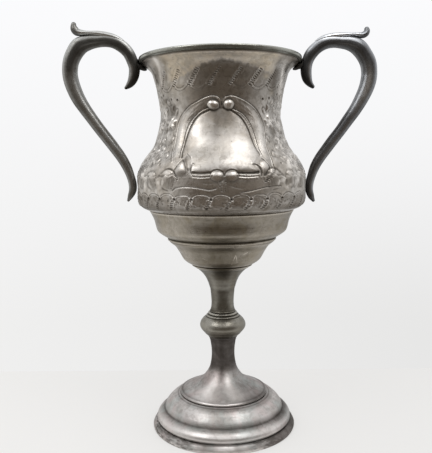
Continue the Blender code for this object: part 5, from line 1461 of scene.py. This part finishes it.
def solder(name, outline, half, side, node):
    """Run of solder: an outline in the handle's plane, pillowed across it, coloured near-black as painted shadow."""
    p = rounded(outline, 40, 0.5)
    d = np.roll(p, -1, 0) - np.roll(p, 1, 0)
    inward = np.column_stack([-d[:, 1], d[:, 0]])
    inward /= np.maximum(np.linalg.norm(inward, axis=1, keepdims=True), 1e-9)
    area2 = np.sum(p[:, 0] * np.roll(p[:, 1], -1) - np.roll(p[:, 0], -1) * p[:, 1])
    inward *= np.sign(area2)
    rows = []
    for t in np.linspace(-90, 90, 13):
        c, s = math.cos(math.radians(t)), math.sin(math.radians(t))
        q = p + inward * 1.15 * (1 - c)
        rows.append(np.column_stack([side * q[:, 0], np.full(len(q), half * s), q[:, 1] + DATUM]))
    m, n_rows = len(p), 13
    mid = [row.mean(0) for row in (rows[0], rows[-1])]
    co = np.vstack(rows + [mid[0][None], mid[1][None]])
    j = np.arange(m)
    nj = (j + 1) % m
    faces = [grid_faces(n_rows, m), np.stack([np.full(m, n_rows * m), nj, j], -1)[:, ::-1], np.stack([(n_rows - 1) * m + nj, np.full(m, n_rows * m + 1), (n_rows - 1) * m + j], -1)[:, ::-1]]
    if side > 0:
        faces = [f[:, ::-1] for f in faces]
    obj = mesh_object(name, co * MM, faces, None, co * MM, grime=np.full(len(co), 0.3), wear=np.zeros(len(co)))
    finish_piece(obj, "root", node, M_SOLDER)
    return obj


LUG = [(50.6, 225.9), (48.9, 225.5), (47.2, 224.9), (45.6, 225.0), (44.9, 225.7), (45.6, 226.7), (46.6, 227.7), (47.4, 228.9), (48.6, 229.35), (49.6, 229.5),
       (49.75, 230.2), (49.9, 231.2), (50.2, 232.0), (50.9, 232.3), (51.6, 231.4), (51.9, 229.0), (51.6, 227.0)]
for tag, side, bar, thumb, metal in (("left", -1.0, LEFT_BAR, LEFT_LEAF, M_HANDLE_L), ("right", 1.0, RIGHT_BAR, RIGHT_LEAF, M_HANDLE_R)):
    sweep("handle_%s_cast" % tag, spline(bar, 0.6), bar_section, side, metal, "handle_" + tag, bar_paint)
    solder("solder_%s" % tag, LUG, 2.7, side, "handle_" + tag)
    sweep("thumb_leaf_%s_cast" % tag, spline(thumb, 0.35), leaf_section, side, metal, "thumb_leaf_" + tag, leaf_paint)


# --------------------------------------------------------------------- studio
FLOOR_BACK, FLOOR_FRONT = 0.097, -0.15


def paper(name, colour, glow):
    mat = bpy.data.materials.new(name)
    mat.use_nodes = True
    sh = mat.node_tree.nodes["Principled BSDF"]
    sh.inputs["Base Color"].default_value = (*colour, 1.0)
    sh.inputs["Roughness"].default_value = 0.95
    sh.inputs["Specular IOR Level"].default_value = 0.1
    sh.inputs["Emission Color"].default_value = (*(c / max(colour) for c in colour), 1.0)
    n = mat.node_tree.nodes
    links = mat.node_tree.links
    place = n.new("ShaderNodeTexCoord")
    axes = n.new("ShaderNodeSeparateXYZ")
    links.new(place.outputs["Object"], axes.inputs[0])
    # the table's light falls off towards the front and a little to the right
    fall = n.new("ShaderNodeMapRange")
    fall.interpolation_type = "SMOOTHSTEP"
    links.new(axes.outputs["Y"], fall.inputs[0])
    for k, v in enumerate((-0.19, -0.05, 0.15, glow), 1):
        fall.inputs[k].default_value = v
    across = n.new("ShaderNodeMapRange")
    links.new(axes.outputs["X"], across.inputs[0])
    for k, v in enumerate((-0.10, 0.10, 1.0, 0.955), 1):
        across.inputs[k].default_value = v
    both = n.new("ShaderNodeMath")
    both.operation = "MULTIPLY"
    links.new(fall.outputs[0], both.inputs[0])
    links.new(across.outputs[0], both.inputs[1])
    links.new(both.outputs[0], sh.inputs["Emission Strength"])
    return mat


def pale_floor():
    """Pale table top with softly rounded front and back edges."""
    pts = [(FLOOR_FRONT - 0.010, -0.012), (FLOOR_FRONT - 0.007, -0.004), (FLOOR_FRONT, 0.0), (FLOOR_BACK, 0.0), (FLOOR_BACK + 0.003, -0.0012), (FLOOR_BACK + 0.005, -0.005)]
    half = 0.8
    turn = Matrix.Rotation(-TURN, 3, "Z")
    co, faces = [], []
    for y, z in pts:
        co += [turn @ Vector((-half, y, z)), turn @ Vector((half, y, z))]
    for i in range(len(pts) - 1):
        faces.append((2 * i, 2 * i + 1, 2 * i + 3, 2 * i + 2))
    mesh = bpy.data.meshes.new("floor")
    mesh.from_pydata(co, [], faces)
    obj = bpy.data.objects.new("backdrop_floor", mesh)
    obj.data.materials.append(paper("floor_paper", (0.30, 0.297, 0.292), 0.535))
    studio.objects.link(obj)


pale_floor()


def area(name, place, aim, size, size_y, radiance, colour=(1, 1, 1)):
    data = bpy.data.lights.new(name, "AREA")
    data.shape = "RECTANGLE"
    data.size, data.size_y = size, size_y
    data.energy = radiance * math.pi * size * size_y
    data.color = colour
    obj = bpy.data.objects.new(name, data)
    obj.location = place
    obj.rotation_euler = (Vector(aim) - Vector(place)).to_track_quat("-Z", "Y").to_euler()
    obj.visible_camera = False
    studio.objects.link(obj)
    return obj


area("right_box", (0.15, -0.22, 0.56), (0.0, 0.0, 0.12), 0.20, 0.34, 3.0)
area("left_box", (-0.30, -0.22, 0.50), (0.0, 0.0, 0.12), 0.22, 0.32, 2.4)

world = bpy.data.worlds.new("studio_air")
scene.world = world
world.use_nodes = True
wn = Nodes(world)
w_out = wn.new("ShaderNodeOutputWorld")
w_bg = wn.new("ShaderNodeBackground")
wn.link(w_bg.outputs[0], w_out.inputs[0])
w_dir = wn.new("ShaderNodeSeparateXYZ")
wn.link(wn.new("ShaderNodeTexCoord").outputs["Generated"], w_dir.inputs[0])
# the dark room in front of the white table, low and level with the cup
ahead = wn.math("MULTIPLY", w_dir.outputs["Y"], -1.0)
low = wn.span(w_dir.outputs["Z"], 0.30, 0.66, 1.0, 0.0)
room = wn.math("MULTIPLY", wn.span(ahead, -0.05, 0.80), low)
# the left side of the set is the brighter one, low down
sides = wn.mix(wn.span(w_dir.outputs["X"], -0.8, 0.8, smooth=False), (0.99, 0.985, 0.97), (0.80, 0.805, 0.81))
lit = wn.mix(wn.span(w_dir.outputs["Z"], 0.0, 0.40), sides, (0.97, 0.975, 0.985))
w_col = wn.mix(room, lit, (0.125, 0.098, 0.072))
# what the camera itself sees is plain paper, a little darker lower down and
# to the right
seen = wn.mix(wn.span(w_dir.outputs["Z"], -0.25, 0.25, smooth=False), (0.870, 0.868, 0.863), (0.968, 0.970, 0.985))
shade = wn.mix(wn.span(w_dir.outputs["X"], -0.35, 0.35, smooth=False), (0.0, 0.0, 0.0), (0.07, 0.07, 0.07))
shade = wn.mix(wn.span(w_dir.outputs["Z"], -0.30, 0.10), shade, (0.0, 0.0, 0.0))
dim = wn.new("ShaderNodeMix", data_type="RGBA", blend_type="SUBTRACT")
dim.inputs[0].default_value = 1.0
wn.link(seen, dim.inputs[6])
wn.link(shade, dim.inputs[7])
path = wn.new("ShaderNodeLightPath")
w_col = wn.mix(path.outputs["Is Camera Ray"], w_col, dim.outputs[2])
wn.link(w_col, w_bg.inputs["Color"])
w_bg.inputs["Strength"].default_value = 1.0
